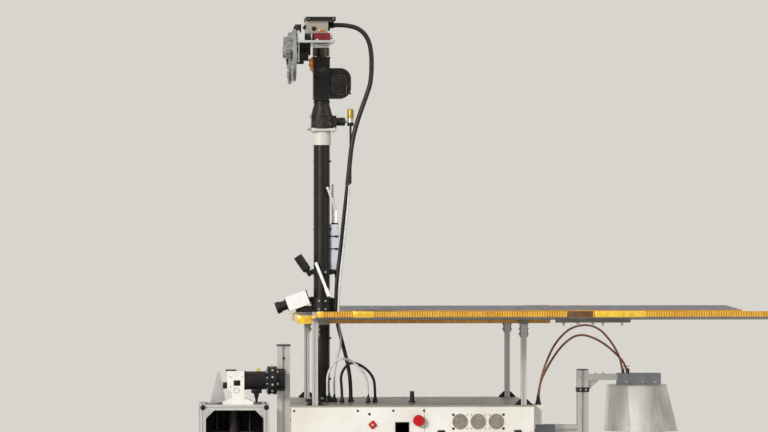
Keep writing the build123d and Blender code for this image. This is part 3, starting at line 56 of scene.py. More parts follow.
left, right = 1, -1
sides = ((left, "left"), (right, "right"))
corners = [(f"{row}_{name}", side) for row, (side, name) in product(("front", "middle", "rear"), sides)]
up = Vector((0, 0, 1))
forward = Vector((1, 0, 0))
outward = Vector((0, 1, 0))


def middle(node):
    """Centre of a CAD node's box."""
    low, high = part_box(node)
    return (Vector(low) + Vector(high)) / 2


body_low, body_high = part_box("side_panels")
deck_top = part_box("deck_plate")[1].z
body_side = body_high.y
mast_x = middle("mast_tube").x
mast_radius = 0.030
head_low, head_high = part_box("tilt_yoke")
head_x = middle("tilt_yoke").x
bench_low, bench_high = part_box("camera_bench")
head_box_rear = bench_low.x + 0.022
red_camera_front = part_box("bench_cameras")[0].x + 0.059
bench_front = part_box("bench_cameras")[1].x - 0.005
clamp_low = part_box("mast_clamps")[0].z
axle_z = 0.1435
track_half = 0.520
radar_y = 0.150

# Colours, as 0 to 255 screen values
sand = (176, 158, 130)
# Painted shade for the grooves between the edge film's ribs
amber_dark = (218, 156, 38)
groove_shade_brown = (132, 82, 14)
rib_pitch = 0.0088
backdrop_pale = (216, 213, 206)


# Camera and light

camera_place = (1.3667, 16.2306, 1.440)
camera_turn = radians(3.6)
camera_dip = radians(0.207)
camera_lens = 207.2
lamps_aim = Vector((0.2, 0, 1.0))
sun_energy = 1.56
sky_strength = 0.95


def add_to_scene(name, data):
    made = bpy.data.objects.new(name, data)
    bpy.context.scene.collection.objects.link(made)
    return made


def aim(thing, place, look):
    thing.location = place
    thing.rotation_euler = look.to_track_quat("-Z", "Y").to_euler()


def add_camera():
    """The photograph's long lens, level with the roof, from the rover's left."""
    data = bpy.data.cameras.new("camera")
    data.lens = camera_lens
    data.clip_end = 200
    camera = add_to_scene("camera", data)
    level = cos(camera_dip)
    aim(
        camera, camera_place,
        Vector((-sin(camera_turn) * level, -cos(camera_turn) * level, -sin(camera_dip))),
    )
    bpy.context.scene.camera = camera


def add_lamps():
    """A soft sun from the front left, and two broad panels that metal can mirror."""
    sun = bpy.data.lights.new("sun", "SUN")
    sun.energy = sun_energy
    sun.angle = radians(7)
    sun.color = (1.0, 0.965, 0.91)
    lamps = [(sun, (6.4, 9.4, 4.6))]
    for name, watts, place in (
        ("front_panel", 190, (4.5, 6.0, 3.6)), ("rear_panel", 110, (-5.5, 3.0, 3.8)),
    ):
        panel = bpy.data.lights.new(name, "AREA")
        panel.energy = watts
        panel.size = 3.2
        lamps.append((panel, place))
    for lamp, place in lamps:
        aim(add_to_scene(lamp.name, lamp), place, lamps_aim - Vector(place))


def seen_directly(nodes, links):
    """1 for rays from the camera, off gloss or through glass."""
    path = nodes.new("ShaderNodeLightPath")
    total = path.outputs["Is Camera Ray"]
    for name in ("Is Glossy Ray", "Is Transmission Ray"):
        added = nodes.new("ShaderNodeMath")
        added.operation = "MAXIMUM"
        links.new(total, added.inputs[0])
        links.new(path.outputs[name], added.inputs[1])
        total = added.outputs[0]
    return total


def mix_shaders(nodes, links, share, first, second, output):
    """Feeds one shader turning into another to an output."""
    both = nodes.new("ShaderNodeMixShader")
    for number, socket in enumerate((share, first, second)):
        links.new(socket, both.inputs[number])
    links.new(both.outputs[0], nodes[output].inputs["Surface"])


def add_world():
    """Even sky light, a little brighter overhead, and a plain pale backdrop where it is seen."""
    world = bpy.data.worlds.new("sky")
    world.use_nodes = True
    bpy.context.scene.world = world
    nodes, links = world.node_tree.nodes, world.node_tree.links
    sky = nodes["Background"]
    coords = nodes.new("ShaderNodeTexCoord")
    split = nodes.new("ShaderNodeSeparateXYZ")
    level = nodes.new("ShaderNodeMapRange")
    level.inputs["From Min"].default_value = -0.25
    level.inputs["From Max"].default_value = 0.9
    tint = nodes.new("ShaderNodeMix")
    tint.data_type = "RGBA"
    tint.inputs["A"].default_value = (0.42, 0.39, 0.35, 1)
    tint.inputs["B"].default_value = (0.60, 0.66, 0.76, 1)
    links.new(coords.outputs["Generated"], split.inputs["Vector"])
    links.new(split.outputs["Z"], level.inputs["Value"])
    links.new(level.outputs["Result"], tint.inputs["Factor"])
    links.new(tint.outputs["Result"], sky.inputs["Color"])
    sky.inputs["Strength"].default_value = sky_strength
    backdrop = nodes.new("ShaderNodeBackground")
    backdrop.inputs["Color"].default_value = screen(backdrop_pale)
    mix_shaders(
        nodes, links, seen_directly(nodes, links), sky.outputs[0], backdrop.outputs[0], "World Output",
    )


# Paint: each material is a small node tree

def screen(colour):
    """Blender's linear colour for one written as screen values."""
    parts = [value / 255 for value in colour]
    linear = [part / 12.92 if part <= 0.04045 else ((part + 0.055) / 1.055) ** 2.4 for part in parts]
    return (*linear, 1.0)


class Paint:
    """A material's node tree, with short calls for the nodes that the finishes share."""

    def __init__(self, name):
        self.material = bpy.data.materials.new(name)
        self.material.use_nodes = True
        self.nodes = self.material.node_tree.nodes
        self.links = self.material.node_tree.links
        self.shader = self.nodes["Principled BSDF"]
        coords = self.nodes.new("ShaderNodeTexCoord")
        self.place = coords.outputs["Object"]
        self.facing = coords.outputs["Normal"]

    def feed(self, socket, value):
        """Links a socket, or sets its number or colour."""
        if isinstance(value, bpy.types.NodeSocket):
            self.links.new(value, socket)
        else:
            socket.default_value = value

    def noise(self, scale, detail=4, stretch=(1, 1, 1)):
        """Cloudy pattern, from 0 to 1."""
        mapping = self.nodes.new("ShaderNodeMapping")
        mapping.inputs["Scale"].default_value = stretch
        texture = self.nodes.new("ShaderNodeTexNoise")
        texture.inputs["Scale"].default_value = scale
        texture.inputs["Detail"].default_value = detail
        self.links.new(self.place, mapping.inputs["Vector"])
        self.links.new(mapping.outputs["Vector"], texture.inputs["Vector"])
        return texture.outputs["Fac"]

    def spread(self, value, start, end, low=0.0, high=1.0):
        """Maps start to end onto low to high, and keeps it there."""
        node = self.nodes.new("ShaderNodeMapRange")
        for name, number in (("From Min", start), ("From Max", end), ("To Min", low), ("To Max", high)):
            node.inputs[name].default_value = number
        self.links.new(value, node.inputs["Value"])
        return node.outputs["Result"]

    def math(self, operation, first, second=0.0):
        node = self.nodes.new("ShaderNodeMath")
        node.operation = operation
        self.feed(node.inputs[0], first)
        self.feed(node.inputs[1], second)
        return node.outputs[0]

    def mix(self, share, first, second):
        """One colour turning into another."""
        node = self.nodes.new("ShaderNodeMix")
        node.data_type = "RGBA"
        for name, value in (("Factor", share), ("A", first), ("B", second)):
            socket = next(s for s in node.inputs if s.name == name and s.enabled)
            self.feed(socket, value)
        return next(s for s in node.outputs if s.enabled)

    def part(self, vector, axis):
        """One coordinate of a vector."""
        node = self.nodes.new("ShaderNodeSeparateXYZ")
        self.links.new(vector, node.inputs["Vector"])
        return node.outputs[axis]

    def edges(self, radius):
        """1 along sharp edges, 0 on flats."""
        bevel = self.nodes.new("ShaderNodeBevel")
        bevel.samples = 4
        bevel.inputs["Radius"].default_value = radius
        flat = self.nodes.new("ShaderNodeNewGeometry")
        dot = self.nodes.new("ShaderNodeVectorMath")
        dot.operation = "DOT_PRODUCT"
        self.links.new(bevel.outputs["Normal"], dot.inputs[0])
        self.links.new(flat.outputs["Normal"], dot.inputs[1])
        return self.spread(dot.outputs["Value"], 0.985, 0.85)

    def between(self, axis, low, high):
        """1 where an object coordinate is between two values."""
        value = self.part(self.place, axis)
        return self.math(
            "MULTIPLY", self.math("GREATER_THAN", value, low), self.math("LESS_THAN", value, high),
        )

    def tone(self, share, colour):
        """Turns the paint into another colour where the share is 1."""
        self.base = self.mix(share, self.base, screen(colour))
        self.feed(self.shader.inputs["Base Color"], self.base)

    def bump(self, height, depth):
        """Relief of a real depth in metres."""
        node = self.nodes.new("ShaderNodeBump")
        node.inputs["Strength"].default_value = 1.0
        node.inputs["Distance"].default_value = depth
        self.links.new(height, node.inputs["Height"])
        self.links.new(node.outputs["Normal"], self.shader.inputs["Normal"])


def finish(
    name, main, second, patch, gloss, metal=0.0, stretch=(1, 1, 1), grain=900, depth=0.00008, edge_wear_and_highlight=None,
    dusty=0.0,
    coat=0.0, shine=0.5,
):
    """Finish with blotches, grain, edge wear and dust that settles on what faces up; on the filter wheel
    the edge colour is a painted highlight as well.
    """
    paint = Paint(name)
    blotch = paint.noise(patch, 6, stretch)
    fine = paint.noise(grain, 3, stretch)
    paint.base = screen(main)
    # Blotches of the second colour; on the horn they are painted reflection streaks
    paint.tone(paint.spread(blotch, 0.35, 0.65), second)
    if metal < 0.5:
        paint.tone(
            paint.spread(paint.noise(patch * 22, 3), 0.66, 0.74, 0, 0.3),
            [value * 0.76 for value in second],
        )
    if dusty:
        lying = paint.spread(paint.part(paint.facing, "Z"), 0.1, 1.0, 0.15, 1.0)
        patchy = paint.spread(paint.noise(patch * 3, 5), 0.35, 0.75, 0, dusty)
        paint.tone(paint.math("MULTIPLY", lying, patchy), sand)
    # Colour along sharp edges: edge wear, and on the filter wheel a painted highlight
    if edge_wear_and_highlight:
        paint.tone(
            paint.math("MULTIPLY", paint.edges(0.0012), paint.spread(paint.noise(60, 4), 0.4, 0.6)), edge_wear_and_highlight,
        )
    roughness = paint.spread(paint.noise(patch * 5, 4), 0.3, 0.7, *gloss)
    for socket, value in (
        ("Roughness", roughness), ("Metallic", metal), ("Coat Weight", coat), ("Specular IOR Level", shine),
    ):
        paint.feed(paint.shader.inputs[socket], value)
    paint.bump(fine, depth)
    return paint


def roof_board(paint):
    """Gray board, amber where the film wraps the edges."""
    side = paint.math("ABSOLUTE", paint.part(paint.facing, "Z"))
    paint.tone(paint.math("LESS_THAN", side, 0.5), amber_dark)


def edge_film(paint):
    """Amber film with painted shade where it sinks between the board's ribs."""
    along = paint.math("ADD", paint.part(paint.place, "X"), paint.part(paint.place, "Y"))
    turn = paint.math("FRACT", paint.math("DIVIDE", along, rib_pitch))
    # Painted shade in each groove between the ribs, broken up along the edge
    groove_shade = paint.spread(paint.math("ABSOLUTE", paint.math("SUBTRACT", turn, 0.5)), 0.20, 0.34, 0, 0.9)
    ragged = paint.spread(paint.noise(130, 4, (1, 1, 0.3)), 0.30, 0.50, 0.45, 1.0)
    paint.tone(paint.math("MULTIPLY", groove_shade, ragged), groove_shade_brown)


def solar_cell(paint):
    """Dark blue cell with fine printed fingers under glass."""
    fingers = paint.nodes.new("ShaderNodeTexWave")
    fingers.wave_type = "BANDS"
    fingers.bands_direction = "X"
    fingers.inputs["Scale"].default_value = 105
    paint.links.new(paint.place, fingers.inputs["Vector"])
    paint.tone(paint.spread(fingers.outputs["Fac"], 0.9, 0.98, 0, 0.35), (120, 132, 160))


def mast_black(paint):
    """Wound carbon tube: a faint twill under clear resin."""
    x, y, z = [paint.part(paint.place, axis) for axis in "XYZ"]
    around = paint.math("ARCTAN2", y, paint.math("SUBTRACT", x, mast_x))
    joined = paint.nodes.new("ShaderNodeCombineXYZ")
    paint.links.new(paint.math("MULTIPLY", around, mast_radius), joined.inputs["X"])
    paint.links.new(z, joined.inputs["Y"])
    weave = paint.nodes.new("ShaderNodeTexChecker")
    weave.inputs["Scale"].default_value = 330
    paint.links.new(joined.outputs["Vector"], weave.inputs["Vector"])
    paint.tone(paint.math("MULTIPLY", weave.outputs["Fac"], 0.25), (42, 34, 31))


def bench_metal(paint):
    """Silver bench with a pale box, a dark drum and a black gland."""
    yoke_top = head_high.z
    drum = paint.between("Z", yoke_top - 0.0005, yoke_top + 0.034)
    drum = paint.math("MULTIPLY", drum, paint.between("X", bench_low.x, head_x + 0.034))
    above = paint.between("Z", bench_high.z - 0.044, bench_high.z + 0.001)
    pale = paint.math("MULTIPLY", above, paint.between("X", head_box_rear - 0.0002, bench_high.x))
    gland_share = paint.math(
        "MULTIPLY", above, paint.between("X", bench_low.x - 0.1, head_box_rear - 0.0002),
    )
    paint.tone(drum, (70, 60, 50))
    paint.tone(pale, (178, 170, 156))
    paint.tone(gland_share, (32, 31, 31))


def camera_red(paint):
    """Red camera body; its lens and the sight camera beside it are black."""
    paint.tone(paint.between("X", red_camera_front + 0.0003, red_camera_front + 0.2), (26, 26, 27))


def sensor_brass(paint):
    """Brass housing on a silver nut, with a dark lower end."""
    low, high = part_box("position_sensor")
    paint.tone(paint.between("Z", high.z - 0.050, high.z - 0.036), (206, 205, 202))
    paint.tone(paint.between("Z", low.z - 0.01, high.z - 0.050), (34, 33, 33))


extras = (roof_board, edge_film, solar_cell, mast_black, bench_metal, camera_red, sensor_brass)

finishes = (
    # name, main colour, second colour, scale of the blotches, roughness from and to, the rest, CAD nodes
    ("white_panel", (236, 233, 226), (218, 212, 200), 5, (0.38, 0.56),
     {"grain": 700, "depth": 0.00006, "edge_wear_and_highlight": (178, 172, 160), "dusty": 0.22},
     ["floor_panel", "end_panels", "side_panels"]),
    ("deck_gray", (165, 158, 145), (148, 141, 128), 9, (0.3, 0.5),
     {"metal": 0.35, "edge_wear_and_highlight": (186, 184, 178), "dusty": 0.5}, ["deck_plate"]),
    ("battery_wrap", (42, 52, 70), (30, 36, 50), 14, (0.3, 0.45), {"edge_wear_and_highlight": (90, 96, 104)}, ["battery"]),
    ("fan_plastic", (44, 43, 42), (34, 33, 33), 40, (0.45, 0.6), {"dusty": 0.3}, ["fans"]),
    ("stop_red", (196, 14, 12), (180, 12, 11), 60, (0.34, 0.46), {"shine": 0.25, "edge_wear_and_highlight": (216, 80, 66)},
     ["stop_buttons"]),
    ("wheel_metal", (168, 165, 160), (140, 136, 130), 22, (0.34, 0.52),
     {"metal": 0.8, "grain": 500, "edge_wear_and_highlight": (214, 210, 204), "dusty": 0.75},
     ["wheel_" + name for name, side in corners]),
    ("leg_metal", (182, 181, 178), (160, 158, 154), 18, (0.32, 0.46),
     {"metal": 0.75, "grain": 800, "edge_wear_and_highlight": (222, 220, 216), "dusty": 0.4},
     ["leg_" + name for name, side in corners]),
    ("motor_black", (28, 27, 28), (21, 20, 21), 30, (0.34, 0.5),
     {"shine": 0.25, "metal": 0.25, "grain": 1200, "edge_wear_and_highlight": (112, 108, 104), "dusty": 0.3},
     ["steering_motors", "mast_pedestal", "pan_housing", "mast_clamps", "tilt_yoke", "spot_camera"]),
    ("sensor_brass", (196, 166, 88), (170, 140, 68), 60, (0.26, 0.4), {"metal": 0.7, "grain": 1400},
     ["position_sensor"]),
    ("bogie_metal", (176, 175, 172), (154, 152, 148), 12, (0.34, 0.5),
     {"metal": 0.75, "stretch": (0.25, 1, 1), "edge_wear_and_highlight": (220, 218, 214), "dusty": 0.45},
     ["side_bogies", "rear_bogie"]),
    ("profile_metal", (204, 203, 200), (188, 186, 182), 10, (0.32, 0.46),
     {"metal": 0.6, "stretch": (1, 1, 0.12), "edge_wear_and_highlight": (228, 226, 222), "dusty": 0.2},
     ["panel_posts", "drill_rail", "drill_frame", "radar_frame"]),
    ("bracket_metal", (140, 137, 132), (118, 114, 108), 24, (0.36, 0.52),
     {"metal": 0.6, "edge_wear_and_highlight": (190, 188, 184), "dusty": 0.25}, ["panel_brackets"]),
    ("roof_board", (138, 131, 118), (120, 113, 101), 8, (0.42, 0.58),
     {"grain": 600, "depth": 0.0001, "dusty": 0.15},
     ["center_panel", "panel_wings"]),
    ("mast_black", (27, 21, 20), (20, 16, 15), 7, (0.26, 0.36),
     {"stretch": (1, 1, 0.2), "shine": 0.3, "edge_wear_and_highlight": (64, 57, 52)}, ["mast_tube"]),
    ("collar_white", (212, 208, 198), (192, 187, 176), 26, (0.36, 0.5),
     {"dusty": 0.2, "edge_wear_and_highlight": (150, 146, 138)},
     ["mast_collar"]),
    ("camera_white", (238, 237, 233), (228, 226, 221), 20, (0.32, 0.46),
     {"dusty": 0.15, "edge_wear_and_highlight": (186, 182, 174)},
     ["box_camera"]),
    ("radio_white", (214, 216, 222), (196, 199, 206), 16, (0.34, 0.46),
     {"dusty": 0.2, "edge_wear_and_highlight": (166, 168, 172)},
     ["radio_box"]),
    ("aerial_white", (252, 250, 247), (244, 241, 237), 40, (0.3, 0.44), {"dusty": 0.1}, ["mast_aerials"]),
    ("camera_black", (24, 24, 25), (18, 18, 19), 50, (0.36, 0.52),
     {"shine": 0.25, "grain": 1400, "edge_wear_and_highlight": (88, 86, 84), "dusty": 0.12},
     ["deck_aerial", "stereo_cameras", "top_frame"]),
    ("bench_metal", (216, 215, 214), (196, 195, 194), 16, (0.24, 0.38),
     {"metal": 0.8, "stretch": (1, 0.2, 1), "edge_wear_and_highlight": (236, 235, 233)}, ["camera_bench"]),
    # Its near-white edge colour is a painted highlight along the rims, as well as edge wear
    ("filter_metal", (176, 177, 178), (152, 153, 154), 10, (0.22, 0.32),
     {"metal": 0.85, "grain": 1500, "depth": 0.00002, "edge_wear_and_highlight": (244, 244, 242)}, ["filter_wheels"]),
    ("camera_red", (128, 18, 32), (108, 15, 27), 40, (0.26, 0.4),
     {"metal": 0.35, "coat": 0.3, "edge_wear_and_highlight": (214, 120, 120)}, ["bench_cameras"]),
    ("actuator_black", (26, 25, 29), (20, 19, 22), 34, (0.3, 0.46),
     {"shine": 0.25, "metal": 0.3, "edge_wear_and_highlight": (104, 100, 98), "dusty": 0.14}, ["drill_actuator"]),
    ("yoke_white", (234, 231, 223), (220, 215, 204), 14, (0.36, 0.5),
     {"dusty": 0.2, "edge_wear_and_highlight": (190, 184, 172)},
     ["drill_yoke"]),
    ("case_black", (32, 20, 20), (22, 15, 16), 9, (0.4, 0.6), {"shine": 0.2, "stretch": (1, 1, 0.4)},
     ["drill_case"]),
    ("spindle_steel", (48, 43, 41), (36, 32, 31), 30, (0.34, 0.5), {"metal": 0.6, "edge_wear_and_highlight": (104, 100, 96)},
     ["drill_spindle"]),
    ("bracket_blue", (130, 132, 137), (114, 116, 121), 24, (0.34, 0.48),
     {"metal": 0.35, "edge_wear_and_highlight": (170, 174, 180), "dusty": 0.2}, ["radar_bracket"]),
    # On the horn the two colours, drawn out upright, are painted reflection streaks
    ("horn_metal", (240, 239, 235), (160, 158, 152), 9, (0.28, 0.4),
     {"metal": 0.8, "stretch": (1, 1, 0.2), "grain": 1200, "depth": 0.00002}, ["radar_horn"]),
    ("cord_black", (24, 24, 25), (29, 28, 29), 60, (0.34, 0.5),
     {"shine": 0.3, "grain": 1600, "dusty": 0.18},
     ["head_conduit_upper", "head_conduit_lower", "mast_bundle", "deck_loop_black"]),
    ("cord_pale", (222, 221, 216), (198, 197, 192), 60, (0.36, 0.5), {"grain": 1600, "dusty": 0.15},
     ["white_lead", "deck_loop_gray"]),
    ("cord_copper", (150, 96, 66), (118, 74, 52), 50, (0.3, 0.42), {"metal": 0.3, "grain": 1600},
     ["radar_lead_near", "radar_lead_far"]),
    ("bright_metal", (214, 212, 208), (190, 188, 184), 80, (0.2, 0.34),
     {"metal": 0.85, "grain": 1500, "edge_wear_and_highlight": (235, 233, 230)}, []),
    ("dark_metal", (62, 60, 58), (48, 46, 45), 80, (0.3, 0.46),
     {"metal": 0.6, "grain": 1500, "edge_wear_and_highlight": (120, 118, 114)}, []),
    ("gauze_wire", (176, 167, 151), (156, 147, 132), 60, (0.4, 0.55), {"metal": 0.3}, []),
    ("edge_film", (236, 180, 54), amber_dark, 24, (0.22, 0.36),
     {"metal": 0.2, "grain": 420, "depth": 0.00012, "coat": 0.4}, []),
    ("brown_film", (112, 72, 34), (84, 54, 28), 60, (0.3, 0.45), {"grain": 300, "depth": 0.0004}, []),
    ("gold_film", (248, 210, 66), (224, 170, 40), 70, (0.16, 0.3),
     {"metal": 0.35, "grain": 260, "depth": 0.0006, "coat": 0.6}, []),
    ("solar_cell", (26, 36, 70), (34, 48, 92), 12, (0.36, 0.46),
     {"depth": 0.00002, "shine": 0.2, "dusty": 0.16}, []),
    ("lens_glass", (16, 17, 26), (30, 22, 48), 60, (0.03, 0.06),
     {"grain": 3000, "depth": 0.000002, "coat": 1.0}, []),
    ("foil_orange", (232, 152, 60), (196, 110, 44), 120, (0.14, 0.3),
     {"metal": 0.6, "grain": 240, "depth": 0.0012, "coat": 0.5}, []),
    ("wire_yellow", (206, 188, 84), (178, 160, 66), 80, (0.36, 0.5), {}, []),
)
paints = {}


def add_paints():
    """Makes each finish, and gives the CAD nodes theirs."""
    for name, main, second, patch, gloss, rest, nodes in finishes:
        paint = paints[name] = finish(name, main, second, patch, gloss, **rest)
        for extra in extras:
            if extra.__name__ == name:
                extra(paint)
        for node in nodes:
            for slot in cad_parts[node].material_slots:
                slot.material = paint.material


# Mesh code

def placed(at, direction):
    """Matrix that stands local Z along a direction."""
    turn = Vector(direction).to_track_quat("Z", "Y")
    return Matrix.Translation(Vector(at)) @ turn.to_matrix().to_4x4()


def lathe(mesh, at, direction, profile, segments=24):
    """Turned form; its profile is a row of (radius, height along the direction)."""
    matrix = placed(at, direction)
    rings = []
    for radius, height in profile:
        angles = [tau * k / segments for k in range(segments if radius else 1)]
        rings.append(
            [mesh.verts.new(matrix @ Vector((radius * cos(a), radius * sin(a), height))) for a in angles]
        )
    for low, high in zip(rings, rings[1:]):
        for k in range(segments):
            after = (k + 1) % segments
            around = (
                low[k % len(low)], low[after % len(low)], high[after % len(high)], high[k % len(high)],
            )
            around = list(dict.fromkeys(around))
            if len(around) > 2:
                mesh.faces.new(around)


def band(mesh, at, direction, inner, outer, width, rise=0.0, segments=32):
    """Ring between two radii, with shoulders that slope by this rise."""
    lathe(mesh, at, direction, (
        (inner, 0), (outer, rise), (outer, width - rise), (inner, width), (inner, 0),
    ), segments)


def knob(mesh, at, direction, tip, radius, height, shoulder, segments=24):
    """Low round cap: flat tip, sloped above the height of its shoulder."""
    lathe(
        mesh, at, direction, ((0, height), (tip, height), (radius, shoulder), (radius, 0), (0, 0)),
        segments,
    )


def block(mesh, xs, ys, zs, edge=0.0006, matrix=Matrix()):
    """Box with broken edges, between two places on each axis."""
    low, high = Vector([min(pair) for pair in (xs, ys, zs)]), Vector([max(pair) for pair in (xs, ys, zs)])
    made = bmesh.ops.create_cube(mesh, size=1)
    size = Matrix.Diagonal((*(high - low), 1))
    bmesh.ops.transform(
        mesh, matrix=matrix @ Matrix.Translation((low + high) / 2) @ size, verts=made["verts"],
    )
    if edge:
        rims = list({rim for vert in made["verts"] for rim in vert.link_edges})
        bmesh.ops.bevel(mesh, geom=rims, offset=edge, segments=2, affect="EDGES", profile=0.5)


def loft(mesh, rings):
    """Skin over closed rings of points, with a cap at each end."""
    rows = [[mesh.verts.new(point) for point in ring] for ring in rings]
    for before, after in zip(rows, rows[1:]):
        for k in range(len(before)):
            n = (k + 1) % len(before)
            mesh.faces.new((before[k], before[n], after[n], after[k]))
    mesh.faces.new(rows[0][::-1])
    mesh.faces.new(rows[-1])


def plate(mesh, outline, thickness, matrix=Matrix()):
    """Flat piece with an outline in local X and Y, from Z 0 to its thickness."""
    loft(mesh, [[matrix @ Vector((x, y, z)) for x, y in outline] for z in (0, thickness)])


def socket_bolt(mesh, at, direction, size):
    """Cap screw with a recess; size is its thread."""
    head, top, recess = 0.8 * size, 0.9 * size, 0.42 * size
    lathe(mesh, at, direction, (
        (0, top * 0.45), (recess, top * 0.45), (recess, top), (head * 0.86, top), (head, top * 0.82),
        (head, 0), (0, 0),
    ), 16)


def button_bolt(mesh, at, direction, size):
    """Low domed screw on a washer."""
    washer, head = 1.1 * size, 0.85 * size
    lathe(mesh, at, direction, (
        (0, 0.42 * size), (0.3 * size, 0.42 * size), (0.34 * size, 0.62 * size), (0.6 * head, 0.62 * size),
        (head, 0.34 * size), (head, 0.16 * size), (washer, 0.16 * size), (washer, 0), (0, 0),
    ), 16)


def hex_bolt(mesh, at, direction, size):
    """Hex head on a washer."""
    lathe(mesh, at, direction, ((0, 0.2 * size), (1.1 * size, 0.2 * size), (1.1 * size, 0), (0, 0)), 16)
    base = Vector(at) + Vector(direction).normalized() * 0.2 * size
    knob(mesh, base, direction, 0.75 * size, 0.9 * size, 0.7 * size, 0.58 * size, 6)


def gland(mesh, at, direction, diameter):
    """Hex nut and domed cap that a cord of this diameter leaves through."""
    radius = diameter / 2
    knob(mesh, at, direction, radius + 0.006, radius + 0.007, 0.006, 0.005, 6)
    lathe(mesh, at, direction, [(radius + proud, height) for proud, height in (
        (0.0003, 0.005), (0.0052, 0.005), (0.005, 0.012), (0.0022, 0.019), (0.0008, 0.034), (0.0003, 0.034),
        (0.0003, 0.005),
    )], 24)


def about(place, half):
    """Two places, this far to either side of one."""
    return (place - half, place + half)


def bolt_grid(mesh, bolt, xs, ys, zs, direction, size):
    """A screw of one kind wherever these X, Y and Z places meet."""
    for at in product(xs, ys, zs):
        bolt(mesh, at, direction, size)


def round_places(centre, axis, radius, count, phase=0.5):
    """Places on a circle round an axis; the phase moves them on by a share of their pitch."""
    for k in range(count):
        angle = tau * (k + phase) / count
        spot = [radius * cos(angle), radius * sin(angle)]
        spot.insert("XYZ".index(axis), 0)
        yield Vector(centre) + Vector(spot)


started = []


def new_piece(name, paint, body="chassis", slot=None):
    """Empty mesh that becomes an object on this body once everything is drawn."""
    mesh = bmesh.new()
    started.append((name, mesh, paint, body, slot))
    return mesh


def finish_pieces():
    """Turns the drawn meshes into objects that ride on their bodies."""
    for name, mesh, paint, body, slot in started:
        bmesh.ops.recalc_face_normals(mesh, faces=mesh.faces)
        data = bpy.data.meshes.new(name)
        mesh.to_mesh(data)
        mesh.free()
        data.shade_smooth()
        data.set_sharp_from_angle(angle=radians(32))
        data.materials.append(paints[paint].material)
        made = add_to_scene(name, data)
        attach(made, body)


# Cords: the routes of the CAD tubes, as control points of a smooth spline

cord_routes = (
    # name, diameter, length, body, slot, points
    ("head_conduit_upper", 0.017, 0.238, "tilt_head", "cord_black", (
        (0.5327, 0.042, 2.081), (0.491, 0.0416, 2.083), (0.428, 0.037, 2.066), (0.393, 0.031, 2.006),
        (0.393, 0.028, 1.940),
    )),
    ("head_conduit_lower", 0.017, 0.457, "pan_head", "cord_black", (
        (0.393, 0.028, 1.9397), (0.393, 0.026, 1.880), (0.412, 0.024, 1.822), (0.443, 0.026, 1.738),
        (0.466, 0.030, 1.650), (0.474, 0.033, 1.570), (0.482, 0.034, 1.495),
    )),
    ("mast_bundle", 0.014, 0.804, "chassis", "cord_black", (
        (0.482, 0.028, 1.4946), (0.489, 0.026, 1.430), (0.498, 0.020, 1.345), (0.506, 0.015, 1.260),
        (0.518, 0.016, 1.170), (0.524, 0.018, 1.085), (0.522, 0.010, 1.000), (0.500, 0.024, 0.915),
        (0.480, 0.034, 0.835), (0.470, 0.040, 0.765), (0.470, 0.040, 0.7003),
    )),
    ("white_lead", 0.008, 0.803, "chassis", "cord_pale", (
        (0.475, 0.041, 1.4939), (0.479, 0.038, 1.430), (0.488, 0.033, 1.345), (0.496, 0.028, 1.262),
        (0.507, 0.029, 1.170), (0.513, 0.031, 1.085), (0.516, 0.026, 1.000), (0.503, 0.044, 0.915),
        (0.520, 0.052, 0.870), (0.534, 0.064, 0.800), (0.532, 0.068, 0.745), (0.532, 0.068, 0.7003),
    )),
    ("deck_loop_black", 0.010, 0.355, "chassis", "cord_black", (
        (0.505, 0.090, 0.7003), (0.505, 0.090, 0.745), (0.512, 0.098, 0.805), (0.478, 0.108, 0.850),
        (0.432, 0.110, 0.836), (0.390, 0.100, 0.795), (0.384, 0.094, 0.748), (0.384, 0.094, 0.7003),
    )),
    ("deck_loop_gray", 0.008, 0.396, "chassis", "cord_pale", (
        (0.560, 0.110, 0.7003), (0.560, 0.110, 0.745), (0.560, 0.112, 0.815), (0.515, 0.118, 0.868),
        (0.462, 0.126, 0.850), (0.420, 0.132, 0.800), (0.412, 0.138, 0.748), (0.412, 0.138, 0.7003),
    )),
    ("radar_lead_near", 0.008, 0.666, "chassis", "cord_copper", (
        (-0.200, 0.262, 0.6983), (-0.200, 0.262, 0.760), (-0.226, 0.258, 0.850), (-0.266, 0.250, 0.930),
        (-0.330, 0.236, 0.985), (-0.415, 0.214, 0.985), (-0.478, 0.190, 0.920), (-0.520, 0.158, 0.840),
        (-0.520, 0.158, 0.7713),
    )),
    ("radar_lead_far", 0.008, 0.608, "chassis", "cord_copper", (
        (-0.200, 0.232, 0.6983), (-0.200, 0.232, 0.760), (-0.240, 0.236, 0.845), (-0.290, 0.228, 0.915),
        (-0.350, 0.212, 0.955), (-0.420, 0.190, 0.935), (-0.484, 0.164, 0.890), (-0.540, 0.144, 0.830),
        (-0.540, 0.144, 0.7713),
    )),
)
blended = {
    # conduit: the body at its low end, the body at its high end
    "head_conduit_upper": ("pan_head", "tilt_head"),
    "head_conduit_lower": ("chassis", "pan_head"),
}


def spline_object(name, points, diameter):
    """Smooth curve with these control points."""
    curve = bpy.data.curves.new(name, "CURVE")
    curve.dimensions = "3D"
    spline = curve.splines.new("NURBS")
    spline.points.add(len(points) - 1)
    for point, place in zip(spline.points, points):
        point.co = (*place, 1)
    spline.order_u = 3
    spline.use_endpoint_u = True
    curve.resolution_u = 10
    curve.bevel_depth = diameter / 2
    curve.bevel_resolution = 5
    curve.use_fill_caps = True
    return bpy.data.objects.new(name, curve)


def curve_mesh(name, points, diameter):
    """Mesh of a curve, or its own line if the diameter is 0."""
    source = spline_object(name, points, diameter)
    source.data.use_fill_caps = diameter > 0
    data = bpy.data.meshes.new_from_object(source)
    bpy.data.objects.remove(source)
    return data


